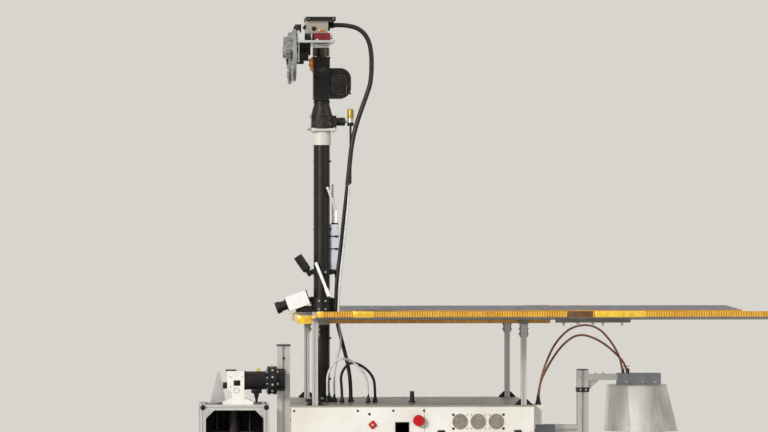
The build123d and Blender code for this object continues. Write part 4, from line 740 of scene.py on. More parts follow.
def add_cords():
    """A cord over each CAD tube, on its body; one that crosses a joint is made a plain tube mesh on no
    body.
    """
    for name, diameter, length, body, slot, points in cord_routes:
        path = None
        if name in blended:
            path = [tuple(vert.co) for vert in curve_mesh(name + "_line", points, 0).vertices]
            data = curve_mesh(name + "_tube", points, diameter)
            data.shade_smooth()
            made = bpy.data.objects.new(name + "_sleeve", data)
        else:
            made = spline_object(name + "_cord", points, diameter)
        made.data.materials.append(paints[slot].material)
        bpy.context.scene.collection.objects.link(made)
        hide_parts(name)
        if name in blended:
            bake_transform(made)
        else:
            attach(made, body)


def add_glands():
    """Tapered strain reliefs where the cords go through the deck."""
    mesh = new_piece("cord_glands", "camera_black")
    for name, diameter, length, body, slot, points in cord_routes:
        for end in (points[0], points[-1]):
            if abs(end[2] - deck_top) < 0.003:
                gland(mesh, end, up, 0.62 * diameter)


# Stage

def add_floor():
    """Wide round matt floor that turns into the backdrop's colour away from the rover."""
    paint = Paint("floor_paint")
    paint.base = screen((216, 213, 205))
    paint.tone(paint.spread(paint.noise(0.9, 3), 0.3, 0.7), (211, 208, 200))
    paint.shader.inputs["Roughness"].default_value = 0.95
    paint.shader.inputs["Specular IOR Level"].default_value = 0.0
    paint.bump(paint.noise(240, 3), 0.0003)
    reach = paint.nodes.new("ShaderNodeVectorMath")
    reach.operation = "LENGTH"
    paint.links.new(paint.place, reach.inputs[0])
    fade = paint.spread(reach.outputs["Value"], 3.0, 9.5)
    glow = paint.nodes.new("ShaderNodeEmission")
    glow.inputs["Color"].default_value = screen(backdrop_pale)
    share = paint.math("MULTIPLY", fade, seen_directly(paint.nodes, paint.links))
    mix_shaders(
        paint.nodes, paint.links, share, paint.shader.outputs[0], glow.outputs[0], "Material Output",
    )
    mesh = bmesh.new()
    bmesh.ops.create_circle(mesh, cap_ends=True, radius=60.0, segments=96)
    data = bpy.data.meshes.new("floor")
    mesh.to_mesh(data)
    mesh.free()
    data.materials.append(paint.material)
    add_to_scene("floor", data)


# Body details

panel_screws = (
    # distances from the front, heights, size
    ((0.0105, 0.240, 0.368, 0.479), (body_high.z - 0.013,), 0.004),
    ((0.0105, 0.124, 0.240, 0.368, 0.479, 0.600, 0.720, 0.866), (body_low.z + 0.013,), 0.004),
    ((0.0105, 0.866), (0.46, 0.53, 0.60), 0.004),
    ((0.282,), (body_high.z - 0.025,), 0.0045),
)
end_screw_y = 0.325
end_screw_heights = (0.425, 0.50, 0.575, 0.65, 0.683)
deck_screw_insets = (0.02, 0.15, 0.30, 0.45, 0.60, 0.75, 0.857)
fan_half = 0.030
fan_screw = 0.025
fan_hole_radius = 0.0285
gauze_pitch = 0.0024
gauze_wire_half = 0.00055
latch_insets = (0.541, 0.818)
latch_top = 0.611
port_place = (0.302, 0.618)
port_half = (0.0255, 0.0225)
port_lip = 0.0028
key_place = Vector((0.4087, body_side, 0.631))


def behind(distances):
    """X of places at these distances behind the body's front."""
    return [body_high.x - distance for distance in distances]


def add_panel_screws():
    """Screws along the edges of the side and end panels."""
    mesh = new_piece("panel_screws", "dark_metal")
    for side in (left, right):
        for distances, heights, size in panel_screws:
            bolt_grid(
                mesh, button_bolt, behind(distances), [side * body_side], heights, outward * side, size,
            )
        for face, direction in ((body_high.x, forward), (body_low.x, -forward)):
            bolt_grid(mesh, button_bolt, [face], [side * end_screw_y], end_screw_heights, direction, 0.004)


def add_fan_details():
    """Screws and a woven guard, sprung into a thin ring, in each fan opening."""
    ends, inner = new_piece("fan_end_screws", "dark_metal"), new_piece("fan_screws", "bright_metal")
    low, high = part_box("fans")
    z = (low.z + high.z) / 2
    pitch = (high.x - low.x - 2 * fan_half) / 2
    fans = [high.x - fan_half - number * pitch for number in range(3)]
    screws = [x + turn * fan_screw for x in fans for turn in (-1, 1)]
    count = int(2 * fan_hole_radius / gauze_pitch)
    for side, name in sides:
        out = outward * side
        for x in screws:
            mesh, size = (ends, 0.0045) if x in (min(screws), max(screws)) else (inner, 0.003)
            bolt_grid(mesh, button_bolt, [x], [side * body_side], about(z, fan_screw), out, size)
        mesh = new_piece("fan_gauze_" + name, "gauze_wire")
        y = side * (body_side - 0.003)
        for x in fans:
            band(
                mesh, (x, y - side * 0.001, z), out, fan_hole_radius - 0.0016, fan_hole_radius, 0.0022, 0,
                36,
            )
            for k in range(count + 1):
                across = (k - count / 2) * gauze_pitch
                reach = max(0, fan_hole_radius ** 2 - across ** 2) ** 0.5 - 0.0006
                if reach > 0.003:
                    block(mesh, about(x + across, gauze_wire_half), (y - 0.0004, y), about(z, reach), 0)
                    block(mesh, about(x, reach), (y, y + 0.0004), about(z + across, gauze_wire_half), 0)


def add_stop_caps():
    """Domed red caps over the stop buttons, each in a black collar."""
    caps = new_piece("stop_caps", "stop_red", slot="stop_red")
    collars = new_piece("stop_collars", "camera_black")
    place = middle("stop_buttons")
    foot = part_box("stop_buttons")[1].y - 0.0142
    for side in (left, right):
        lathe(caps, (place.x, side * foot, place.z), outward * side, (
            (0.0142, -0.0002), (0.0196, -0.0002), (0.0205, 0.0012), (0.0203, 0.0050), (0.0188, 0.0095),
            (0.0150, 0.0128), (0.0090, 0.0142), (0, 0.0146),
        ), 40)
        lathe(collars, (place.x, side * body_side, place.z), outward * side, (
            (0.0138, 0.0095), (0.0170, 0.0095), (0.0185, 0.0070), (0.0200, 0.0016), (0.0200, 0),
            (0.0138, 0),
            (0.0138, 0.0095),
        ), 36)


def add_latches():
    """Two quarter-turn fasteners low on each side panel."""
    mesh, keys = new_piece("panel_latches", "camera_black"), new_piece("latch_keys", "bright_metal")
    for side, x in product((left, right), behind(latch_insets)):
        out, face = outward * side, body_side
        block(
            mesh, about(x, 0.0135), (side * face, side * (face + 0.005)), (latch_top - 0.042, latch_top),
            0.002,
        )
        knob(mesh, (x, side * (face + 0.005), latch_top - 0.019), out, 0.0080, 0.0095, 0.006, 0.0045)
        ys = (side * (face + 0.0105), side * (face + 0.0135))
        block(keys, about(x, 0.0015), ys, (latch_top - 0.026, latch_top - 0.012), 0.0005)


def add_port():
    """Rubber lip round the cable opening, and the red key switch beside it."""
    mesh = new_piece("port_lip", "cord_black")
    x, z = port_place
    half_x, half_z = port_half
    ys = (body_side - 0.0112, body_side + 0.0015)
    for turn in (-1, 1):
        rim_x, rim_z = x + turn * half_x, z + turn * half_z
        block(mesh, about(x, half_x), ys, (rim_z, rim_z - turn * port_lip))
        block(mesh, (rim_x, rim_x - turn * port_lip), ys, about(z, half_z - port_lip))
    turned = Matrix.Translation(key_place) @ Matrix.Rotation(radians(38), 4, "Y")
    half = about(0, 0.012)
    block(new_piece("key_switch", "stop_red", slot="stop_red"), half, (0, 0.007), half, 0.0025, turned)
    barrel = key_place + outward * 0.0065
    knob(new_piece("key_barrel", "bright_metal"), barrel, outward, 0.004, 0.0052, 0.004, 0.003, 20)


def add_deck_details():
    """Deck screws, the mast foot's bolts and its boot."""
    mesh = new_piece("deck_screws", "bright_metal")
    ends = (body_low.x + 0.005, body_high.x - 0.005)
    for xs, ys in ((behind(deck_screw_insets), about(0, 0.3445)), (ends, (-0.26, -0.13, 0.0, 0.13))):
        bolt_grid(mesh, button_bolt, xs, ys, [deck_top], up, 0.0038)
    foot = Vector((mast_x, 0, deck_top + 0.010))
    for at in round_places(foot, "Z", 0.048, 6):
        socket_bolt(mesh, at, up, 0.007)
    boot = new_piece("mast_boot", "camera_black")
    lathe(boot, foot, up, [(mast_radius + proud, height) for proud, height in (
        (0.0002, 0), (0.009, 0), (0.0085, 0.002), (0.0022, 0.014), (0.0015, 0.022), (0.0002, 0.022),
        (0.0002, 0),
    )], 40)


# Roof details

cell_length, cell_width = 0.0795, 0.0395
cell_gap = 0.0022
cell_thickness = 0.0005
cell_corner = 0.006
cell_margin = 0.012
rib_depth = 0.0009
wing_thickness = 0.019
wing_tilts = {left: radians(2.9), right: radians(0.9)}
wing_low, wing_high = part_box("panel_wings")
center_low, center_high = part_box("center_panel")
post_notch_rear = 0.603
post_notch_side = 0.342
mast_notch_rear = 0.490
mast_notch_half = 0.045
splice_xs = (-0.267, -0.318, -0.372, -0.408, -0.477)
splice_y = 0.500


def wing_edges(side):
    """Lower rear corners of one wing, at its inner and its outer edge."""
    inner = center_high.y + 0.005
    rise = (wing_high.y - inner) * sin(wing_tilts[side]) / cos(wing_tilts[side])
    rear = wing_low.x
    return Vector((rear, side * inner, wing_low.z)), Vector((rear, side * wing_high.y, wing_low.z + rise))


def roof_faces():
    """Top of each roof board: name, plane with X forward and Y across it, length and width."""
    size = center_high - center_low
    yield "center", Matrix.Translation((center_low.x, center_low.y, center_high.z)), size.x, size.y
    for side, name in sides:
        inner, outer = wing_edges(side)
        start = (inner if side == left else outer) + up * wing_thickness
        plane = Matrix.Translation(start) @ Matrix.Rotation(side * wing_tilts[side], 4, "X")
        yield name, plane, wing_high.x - wing_low.x, (outer - inner).length


def cell_starts(length, size):
    """Where cells of one size start in a row, centred on this length."""
    pitch = size + cell_gap
    count = int((length - 2 * cell_margin + cell_gap) / pitch)
    return [(length - count * pitch + cell_gap) / 2 + number * pitch for number in range(count)]


def add_cells():
    """Rows of thin cells with cut corners, joined by bright tabs."""
    w, h, c = cell_length, cell_width, cell_corner
    outline = ((c, 0), (w - c, 0), (w, c), (w, h - c), (w - c, h), (c, h), (0, h - c), (0, c))
    for name, plane, length, width in roof_faces():
        cells = new_piece("cells_" + name, "solar_cell", slot="solar_panel")
        tabs = new_piece("cell_tabs_" + name, "bright_metal")
        for x, y in product(cell_starts(length, w), cell_starts(width, h)):
            spot = plane @ Vector((x + w / 2, y + h / 2, 0))
            front, near, away = spot.x + w / 2, abs(spot.y) - h / 2, abs(spot.y) + h / 2
            if name == "center" and front > mast_notch_rear - 0.004 and near < mast_notch_half:
                continue
            if name != "center" and front > post_notch_rear - 0.002 and near < post_notch_side < away:
                continue
            corner = plane @ Matrix.Translation((x, y, 0))
            plate(cells, outline, cell_thickness, corner)
            for share in (0.25, 0.75):
                rise = (cell_thickness, cell_thickness + 0.0002)
                block(tabs, (0.001, w + cell_gap - 0.0012), about(h * share, 0.0007), rise, 0, corner)


def ribbed(mesh, start, run, height, facing):
    """Closed strip whose outer face is folded into small ribs."""
    count = 2 * max(2, int(run.length / rib_pitch))
    line = [start - facing * 0.0002]
    line += [
        start + run * (k / count) + facing * (0.0003 + (rib_depth if k % 2 else 0))
        for k in range(count + 1)
    ]
    line.append(start + run - facing * 0.0002)
    loft(mesh, (line, [point + height for point in line]))


def add_edge_film():
    """Amber film with the board's cell walls showing through as ribs, on every edge of the roof."""
    mesh = new_piece("edge_film", "edge_film")
    rise = up * wing_thickness
    length = forward * (wing_high.x - wing_low.x)
    to_notch = forward * (post_notch_rear - wing_low.x)
    for side in (left, right):
        inner, outer = wing_edges(side)
        out, across = outward * side, outer - inner
        notch = (post_notch_side - abs(inner.y)) / across.y * side * across
        for start, run, facing in (
            (outer, length, out), (inner, to_notch, -out), (inner, across, -forward),
            (inner + length + notch, across - notch, forward), (inner + to_notch, notch, forward),
            (inner + to_notch + notch, length - to_notch, -out),
        ):
            ribbed(mesh, start, run, rise, facing)
    low, high = center_low, center_high
    size = high - low
    for start, run, facing in (
        (low, forward * size.x, -outward), (Vector((low.x, high.y, low.z)), forward * size.x, outward),
        (low, outward * size.y, -forward),
        (Vector((high.x, low.y, low.z)), outward * (high.y - mast_notch_half), forward),
        (Vector((high.x, mast_notch_half, low.z)), outward * (high.y - mast_notch_half), forward),
    ):
        ribbed(mesh, start, run, up * size.z, facing)


def add_edge_wraps():
    """Fresh tape folded over the roof's edge in a few places, and one old brown stretch."""
    fresh, old = new_piece("gold_wraps", "gold_film"), new_piece("brown_wraps", "brown_film")
    low, high = center_low, center_high
    flat = (low.z - 0.0012, high.z + 0.0010)
    for side in (left, right):
        outer = wing_edges(side)[1]
        edge = (outer.y - side * 0.012, outer.y + side * 0.0014)
        sloped = (outer.z - 0.0014, outer.z + wing_thickness + 0.0010)
        for mesh, xs, ys, zs, rim in (
            (fresh, (0.430, 0.503), edge, sloped, 0.0007), (fresh, (0.606, 0.627), edge, sloped, 0.0007),
            (fresh, (-0.528, -0.350), edge, sloped, 0.0007), (old, (-0.343, -0.251), edge, sloped, 0.0007),
            (fresh, (0.600, high.x + 0.0012), (side * (high.y - 0.014), side * (high.y + 0.0018)), flat,
             0.0008),
            (fresh, (high.x - 0.010, high.x + 0.0016),
             (side * (mast_notch_half + 0.002), side * (high.y - 0.015)), flat, 0.0008),
        ):
            block(mesh, xs, ys, zs, rim)


def corner_foot(mesh, bolts, at, direction):
    """Small cast gusset between a post and the deck."""
    side = direction.cross(up)
    matrix = Matrix((
        (direction.x, 0, side.x, at.x), (direction.y, 0, side.y, at.y), (0, 1, 0, at.z), (0, 0, 0, 1),
    ))
    outline = ((0, 0), (0.021, 0), (0.021, 0.003), (0.003, 0.021), (0, 0.021))
    for offset in (-0.0085, 0.0060):
        plate(mesh, outline, 0.0025, matrix @ Matrix.Translation((0, 0, offset)))
    for xs, ys in (((0, 0.021), (0, 0.0025)), ((0, 0.0025), (0, 0.021))):
        block(mesh, xs, ys, about(0, 0.0085), 0.0004, matrix)
    socket_bolt(bolts, matrix @ Vector((0.012, 0.0025, 0)), up, 0.0045)
    socket_bolt(bolts, matrix @ Vector((0.0025, 0.012, 0)), direction, 0.0045)


def add_post_details():
    """Caps on the front posts, feet of all posts, and bolts through the brackets."""
    caps, bolts = new_piece("post_caps", "camera_black"), new_piece("post_bolts", "bright_metal")
    low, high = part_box("panel_posts")
    half = 0.010
    roof = center_low.z - 0.003
    for side in (left, right):
        y = side * (high.y - half)
        block(caps, about(high.x - half, half), about(y, half), (high.z, high.z + 0.0025), 0.001)
        for x, ways in ((high.x - half, (-forward,)), (low.x + half, (-forward, forward))):
            for way in (-forward, forward):
                corner_foot(caps, bolts, Vector((x, y, deck_top)) + way * half, way)
            for way, drop in product(ways, (0.018, 0.036)):
                socket_bolt(bolts, Vector((x, y, roof - drop)) + way * (half + 0.004), way, 0.0045)


def add_splice_studs():
    """Nuts and stud ends under the splice of each wing."""
    mesh = new_piece("splice_studs", "bright_metal")
    for side, x in product((left, right), splice_xs):
        tilt = wing_tilts[side]
        normal = Vector((0, side * sin(tilt), -cos(tilt)))
        at = (x, side * splice_y, 0.9928 + (splice_y - 0.325) * tilt)
        hex_bolt(mesh, at, normal, 0.006)
        knob(mesh, at, normal, 0.0022, 0.003, 0.0125, 0.0115, 12)


# Mast details

def add_clamp_details():
    """Screws and split lugs of the mast clamps, and straps round the mast."""
    bolts, bands = new_piece("clamp_screws", "bright_metal"), new_piece("mast_straps", "camera_black")
    for base, height, rises in ((clamp_low, 0.054, (0.012, 0.042)), (clamp_low + 0.138, 0.020, (0.010,))):
        for side in (left, right):
            zs = [base + rise for rise in rises]
            bolt_grid(bolts, socket_bolt, about(mast_x, 0.012), [side * 0.0372], zs, outward * side, 0.005)
        block(
            bands, about(mast_x - 0.0425, 0.005), about(0, 0.009), (base + 0.002, base + height - 0.002),
            0.0012,
        )
    rear = mast_x - mast_radius
    for z in (0.78, 0.93, 1.33, 1.46, 1.58):
        band(bands, (mast_x, 0, z), up, mast_radius + 0.0002, mast_radius + 0.0013, 0.0048, 0.0003, 36)
        block(bands, (rear - 0.005, rear + 0.001), about(0, 0.003), (z - 0.001, z + 0.006), 0.0008)


def frame_matrix(at, direction, lift):
    """Matrix with local Z along a direction and local Y along the lift."""
    side = lift.cross(direction).normalized()
    matrix = Matrix((side, lift, direction)).transposed().to_4x4()
    return Matrix.Translation(at) @ matrix


def tilted(degrees):
    """Directions along and above something that points down by this angle."""
    tilt = radians(degrees)
    return Vector((cos(tilt), 0, -sin(tilt))), Vector((sin(tilt), 0, cos(tilt)))


def add_box_camera_details():
    """Black hood and lens, rear gland and screws of the tilted box camera."""
    hood = new_piece("box_camera_hood", "camera_black", slot="camera_black")
    lens = new_piece("box_camera_lens", "lens_glass")
    screws = new_piece("box_camera_screws", "bright_metal")
    along, lift = tilted(20)
    centre = Vector((mast_x + 0.090, 0, clamp_low + 0.042))
    front, rear = centre + along * 0.040, centre - along * 0.040
    lathe(hood, front, along, (
        (0.0170, 0), (0.0225, 0), (0.0225, 0.003), (0.0180, 0.004), (0.0180, 0.0235), (0.0216, 0.0250),
        (0.0216, 0.0424), (0.0170, 0.0424), (0.0169, 0.0302), (0.0110, 0.0302), (0.0110, 0.0290),
    ), 40)
    cover = about(0, 0.0275)
    block(hood, cover, cover, (-0.0035, 0.0002), 0.001, frame_matrix(rear, along, lift))
    gland(hood, rear - along * 0.003 - lift * 0.012, -along, 0.007)
    lathe(lens, front + along * 0.0300, along, (
        (0.0118, 0), (0.0118, 0.0006), (0.008, 0.0022), (0, 0.0028), (0, 0),
    ), 32)
    for a, b in product((-0.0225, 0.0225), repeat=2):
        spot = outward * a + lift * b
        socket_bolt(screws, front + spot, along, 0.0028)
        socket_bolt(screws, rear - along * 0.0035 + spot, -along, 0.0028)


def add_spot_camera_details():
    """Grip rings, front bezel and lens of the small camera on the mast."""
    rings = new_piece("spot_camera_rings", "camera_black", slot="camera_black")
    along = tilted(-55.4)[0]
    front = Vector((mast_x + 0.070, 0, clamp_low + 0.178)) + along * 0.031
    for reach in (0.012, 0.018, 0.024, 0.042):
        band(rings, front - along * reach, along, 0.0158, 0.0172, 0.003, 0.0004, 32)
    lathe(rings, front, along, (
        (0.0125, 0), (0.0150, 0), (0.0150, -0.0002), (0.0172, -0.0002), (0.0172, 0.0012), (0.0160, 0.0024),
        (0.0130, 0.0020), (0.0125, 0),
    ), 36)
    lathe(new_piece("spot_camera_lens", "lens_glass"), front, along, (
        (0.0124, 0), (0.0124, 0.0003), (0.0075, 0.0013), (0, 0.0017), (0, 0),
    ), 32)


def add_radio_details():
    """Lid lines, straps, vents, glands and screws of the radio box."""
    covers = new_piece("radio_covers", "radio_white", slot="radio_white")
    straps, screws = new_piece("radio_straps", "camera_black"), new_piece("radio_screws", "bright_metal")
    low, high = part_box("radio_box")
    for z in (low.z + 0.03, high.z - 0.0335):
        ys = (low.y - 0.0008, high.y + 0.0008)
        block(covers, (low.x - 0.0008, high.x - 0.0002), ys, (z, z + 0.0035), 0.0005)
    ys = (low.y + 0.005, high.y - 0.005)
    block(covers, (low.x + 0.003, high.x - 0.012), ys, (low.z - 0.004, low.z), 0.001)
    for z in (low.z + 0.072, high.z - 0.046):
        ys = (low.y - 0.0014, high.y + 0.0014)
        block(straps, (low.x - 0.0014, high.x - 0.0001), ys, (z, z + 0.0046), 0.0006)
        ys = (high.y + 0.0010, high.y + 0.0050)
        block(straps, (low.x + 0.006, low.x + 0.014), ys, (z - 0.0012, z + 0.006), 0.0007)
    for k in range(5):
        z = low.z + 0.084 + 0.006 * k
        block(
            straps, (low.x - 0.0004, low.x + 0.0006), (low.y + 0.009, high.y - 0.009), (z, z + 0.0026),
            0.0003,
        )
    for y in (low.y + 0.010, high.y - 0.010):
        gland(straps, (low.x + 0.0095, y, low.z - 0.004), -up, 0.003)
    xs, zs = (low.x + 0.007, high.x - 0.007), (low.z + 0.012, high.z - 0.012)
    for y, direction in ((high.y, outward), (low.y, -outward)):
        bolt_grid(screws, button_bolt, xs, [y], zs, direction, 0.003)


def add_pedestal_details():
    """Flange bolts, the knob on the flat front and the seam rings of the pan pedestal and its plug."""
    bolts = new_piece("flange_bolts", "bright_metal")
    rings = new_piece("pedestal_rings", "motor_black", slot="motor_black")
    low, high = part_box("mast_pedestal")
    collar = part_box("mast_collar")[1]
    for z, way in ((collar.z, up), (collar.z - 0.009, -up)):
        bolt_grid(
            bolts, hex_bolt, about(middle("mast_collar").x, 0.0385), about(0, 0.0385), [z], way, 0.0045,
        )
    bolt_grid(bolts, socket_bolt, [high.x], about(0, 0.024), [collar.z + 0.008], forward, 0.004)
    knob(bolts, (high.x, 0.020, collar.z + 0.044), forward, 0.0045, 0.0055, 0.008, 0.007, 20)
    lathe(bolts, (collar.x, 0.030, collar.z - 0.0045), forward, (
        (0, 0.014), (0.0034, 0.014), (0.0034, 0.006), (0.0065, 0.006), (0.0065, 0), (0, 0),
    ), 6)
    lathe(rings, (mast_x, 0, collar.z), up, (
        (0.0525, 0.0015), (0.0545, 0.0020), (0.0545, 0.0078), (0.0525, 0.0084), (0.0525, 0.0015),
    ), 48)
    everything = [*rings.verts, *rings.edges, *rings.faces]
    flat = {"plane_co": (high.x, 0, 0), "plane_no": (1, 0, 0), "clear_outer": True}
    sliced = bmesh.ops.bisect_plane(rings, geom=everything, **flat)
    rims = [item for item in sliced["geom_cut"] if isinstance(item, bmesh.types.BMEdge)]
    bmesh.ops.holes_fill(rings, edges=rims)
    band(rings, (mast_x, 0, high.z - 0.0120), up, 0.0285, 0.0302, 0.0080, 0.0005, 40)
    for reach in (0.004, 0.011, 0.018, 0.025):
        band(rings, (low.x + reach, 0, collar.z + 0.025), forward, 0.0144, 0.0158, 0.0042, 0.0006, 32)


def add_aerial_tips():
    """Rounded tips and black bases of the aerials."""
    tips = new_piece("aerial_tips", "aerial_white", slot="aerial_white")
    bases = new_piece("aerial_bases", "camera_black")
    low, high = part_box("radio_box")
    y = (low.y + high.y) / 2
    for place, lean, height, radius, socket, socket_height in (
        # X and Y of the base, lean along X and Y, height above the radio, rod's radius, socket's radius
        # and height
        ((low.x + 0.008, y + 0.008), (0.036, 0.058), 0.135, 0.004, 0.0060, 0.053),
        ((low.x + 0.018, y - 0.008), (0.002, 0.0), 0.147, 0.005, 0.0065, 0.016),
    ):
        base = Vector((*place, high.z))
        joint = base + up * (socket_height - radius)
        tip = base + Vector((*lean, height))
        lathe(tips, tip, (tip - joint).normalized(), (
            (radius + 0.0002, -0.006), (radius + 0.0004, -0.0002), (radius - 0.0010, 0.0010), (0, 0.0014),
        ), 24)
        lathe(bases, base, up, [(socket + proud, rise) for proud, rise in (
            (0, 0), (0.0012, 0), (0.0012, 0.0045), (0.0004, 0.0055), (0, 0.0055), (0, 0),
        )], 24)


# Head details

def add_pan_details():
    """Side covers, seams, screws and bearing caps of the pan and tilt unit."""
    mesh = new_piece("pan_covers", "motor_black", "pan_head", "motor_black")
    bolts = new_piece("pan_screws", "dark_metal", "pan_head")
    caps = new_piece("yoke_caps", "dark_metal", "tilt_head")
    low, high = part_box("pan_housing")
    axis_z = high.z - 0.0285
    cover_xs, cover_zs = (low.x + 0.014, head_x - 0.034), (low.z + 0.016, axis_z - 0.014)
    for side in (left, right):
        out = outward * side
        block(mesh, cover_xs, (side * 0.042, side * 0.0442), cover_zs, 0.006)
        for xs, y, zs in (
            ((low.x + 0.024, head_x - 0.042), 0.0442, (low.z + 0.024, axis_z - 0.024)),
            ((head_x - 0.012, head_x + 0.016), 0.045, (low.z + 0.012, low.z + 0.030)),
        ):
            bolt_grid(bolts, socket_bolt, xs, [side * y], zs, out, 0.0036)
        axis = Vector((head_x, side * head_high.y, axis_z))
        knob(caps, axis + out * 0.0002, out, 0.0105, 0.0120, 0.0020, 0.0010, 32)
        for at in round_places(axis, "Y", 0.0225, 6, 0):
            socket_bolt(caps, at, out, 0.0032)
    for rise in (0.020, 0.046, 0.072):
        zs = (low.z + rise, low.z + rise + 0.006)
        block(mesh, (low.x - 0.0006, low.x + 0.0030), about(0, 0.030), zs, 0.001)


def add_yoke_foil():
    """Crumpled foil tucked against the front of the tilt yoke's near cheek."""
    base = head_high + Vector((-0.0005, -0.011, -0.052))
    shape = (
        # reach forward, lift
        (0.004, 0), (0.013, 0.003), (0.010, 0.012), (0.017, 0.020), (0.014, 0.031), (0.018, 0.040),
        (0.008, 0.049), (0, 0.050), (0, 0.004),
    )
    near, away = [], []
    for number, (reach, lift) in enumerate(shape):
        wave = 0.0016 * sin(2.1 * number)
        near.append(base + Vector((reach, wave, lift)))
        away.append(base + Vector((reach * 0.9, wave + 0.0085, lift + 0.001)))
    loft(new_piece("yoke_foil", "foil_orange", "tilt_head"), (near, away))


def add_bench_details():
    """Bolts of the bench and hangers, and the rows of spare holes' bushes in the lip."""
    mesh = new_piece("bench_bolts", "bright_metal", "tilt_head")
    bushes = new_piece("bench_bushes", "dark_metal", "tilt_head")
    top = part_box("bench_cameras")[0].z
    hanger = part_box("filter_wheels")[1].y - 0.095
    for side in (left, right):
        for x, ys, z, way in (
            (bench_front - 0.004, about(hanger, 0.028), top - 0.020, forward),
            (bench_front - 0.072, (0.030, 0.110, 0.170, 0.245), top, up),
        ):
            bolt_grid(mesh, socket_bolt, [x], [side * y for y in ys], [z], way, 0.005)
        for y in (0.092, 0.118, 0.182, 0.230, 0.252):
            lathe(bushes, (bench_front, side * y, top + 0.022), forward, (
                (0, 0.0004), (0.0032, 0.0004), (0.0040, 0.0012), (0.0046, 0), (0, 0),
            ), 20)
    bolt_grid(mesh, socket_bolt, about(head_x, 0.022), about(0, 0.038), [head_high.z], up, 0.0045)


def add_filter_details():
    """Glass in the lens rings, spare filters round the wheel and its hub."""
    glasses = new_piece("filter_glasses", "lens_glass", "tilt_head")
    rims = new_piece("filter_rims", "filter_metal", "tilt_head", "filter_metal")
    hubs = new_piece("filter_hubs", "camera_black", "tilt_head")
    low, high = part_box("filter_wheels")
    for side in (left, right):
        hub = Vector((high.x - 0.022, side * (high.y - 0.095), (low.z + high.z) / 2))
        lenses = []
        for y, z, radius, ring, reach in (
            # place on the wheel, the glass's radius, the ring's radius and depth
            (-0.065, 0.025, 0.0149, 0.025, 0.01364), (0.022, 0.066, 0.0099, 0.0165, 0.00992),
        ):
            at = hub + Vector((0, side * y, z))
            lenses.append(at)
            lathe(glasses, at + forward * 0.0041, forward, (
                (radius, 0), (radius, 0.0012), (radius * 0.6, 0.0030), (0, 0.0036), (0, 0),
            ), 32)
            lathe(rims, at, forward, [(ring + proud, height) for proud, height in (
                (-0.0002, 0.0004), (0.0022, 0.0004), (0.0022, 0.0042), (0.0004, 0.0056), (0.0004, reach),
                (-0.0002, reach), (-0.0002, 0.0004),
            )], 40)
        lathe(hubs, hub, forward, (
            (0, 0.0075), (0.010, 0.0075), (0.013, 0.0055), (0.022, 0.0045), (0.024, 0.0030), (0.024, 0),
            (0, 0),
        ), 40)
        for at in round_places(hub, "X", 0.066, 8, 4 / 9):
            if min((at - lens).length for lens in lenses) < 0.040:
                continue
            lathe(rims, at, forward, (
                (0.0095, 0), (0.0125, 0), (0.0125, 0.0018), (0.0110, 0.0026), (0.0095, 0.0022), (0.0095, 0),
            ), 28)
            lathe(glasses, at, forward, ((0.0096, 0), (0.0096, 0.0007), (0, 0.0013), (0, 0)), 28)
        for at in round_places(hub + forward * 0.0045, "X", 0.017, 6, 0):
            socket_bolt(rims, at, forward, 0.0026)


def add_red_camera_details():
    """Fins, lens rings and glass of the red camera, and the sight camera's lens."""
    rings = new_piece("red_camera_rings", "camera_black", "tilt_head", "camera_black")
    trim = new_piece("red_camera_trim", "bright_metal", "tilt_head")
    glass = new_piece("red_camera_lens", "lens_glass", "tilt_head")
    low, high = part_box("bench_cameras")
    nose = Vector((red_camera_front, 0.150, low.z + 0.015))
    for start, end, radius in ((0.0002, 0.006, 0.0140), (0.012, 0.020, 0.0139), (0.026, 0.0325, 0.0142)):
        lathe(rings, nose, forward, (
            (0.0125, start), (radius, start), (radius + 0.0004, start + 0.0008),
            (radius + 0.0004, end - 0.0008),
            (radius, end), (0.0125, end), (0.0125, start),
        ), 36)
    band(trim, nose + forward * 0.0065, forward, 0.0128, 0.0139, 0.0047, 0, 36)
    knob(trim, (low.x, nose.y, nose.z), -forward, 0.0072, 0.0080, 0.009, 0.008, 28)
    for k in range(5):
        x = nose.x - 0.0105 - 0.0072 * k
        block(trim, (x, x + 0.0030), about(nose.y, 0.0160), (nose.z + 0.0149, nose.z + 0.0156), 0.0002)
    sight = Vector((bench_front, 0.045, high.z - 0.0145))
    face = Vector((high.x, sight.y, sight.z))
    lathe(glass, nose + forward * 0.0330, forward, ((0.0112, 0), (0.0112, 0.0003), (0, 0.0016), (0, 0)), 32)
    lathe(glass, face, forward, ((0.0056, 0), (0.0056, 0.0003), (0, 0.0012), (0, 0)), 24)
    zs = (high.z - 0.0292, high.z + 0.0003)
    block(rings, (bench_front - 0.0223, bench_front + 0.0004), about(sight.y, 0.0133), zs, 0.0014)
    lathe(rings, sight, forward, (
        (0.0066, 0), (0.0092, 0), (0.0092, 0.0030), (0.0074, 0.0052), (0.0060, 0.0052), (0.0060, 0.0040),
        (0.0066, 0),
    ), 28)


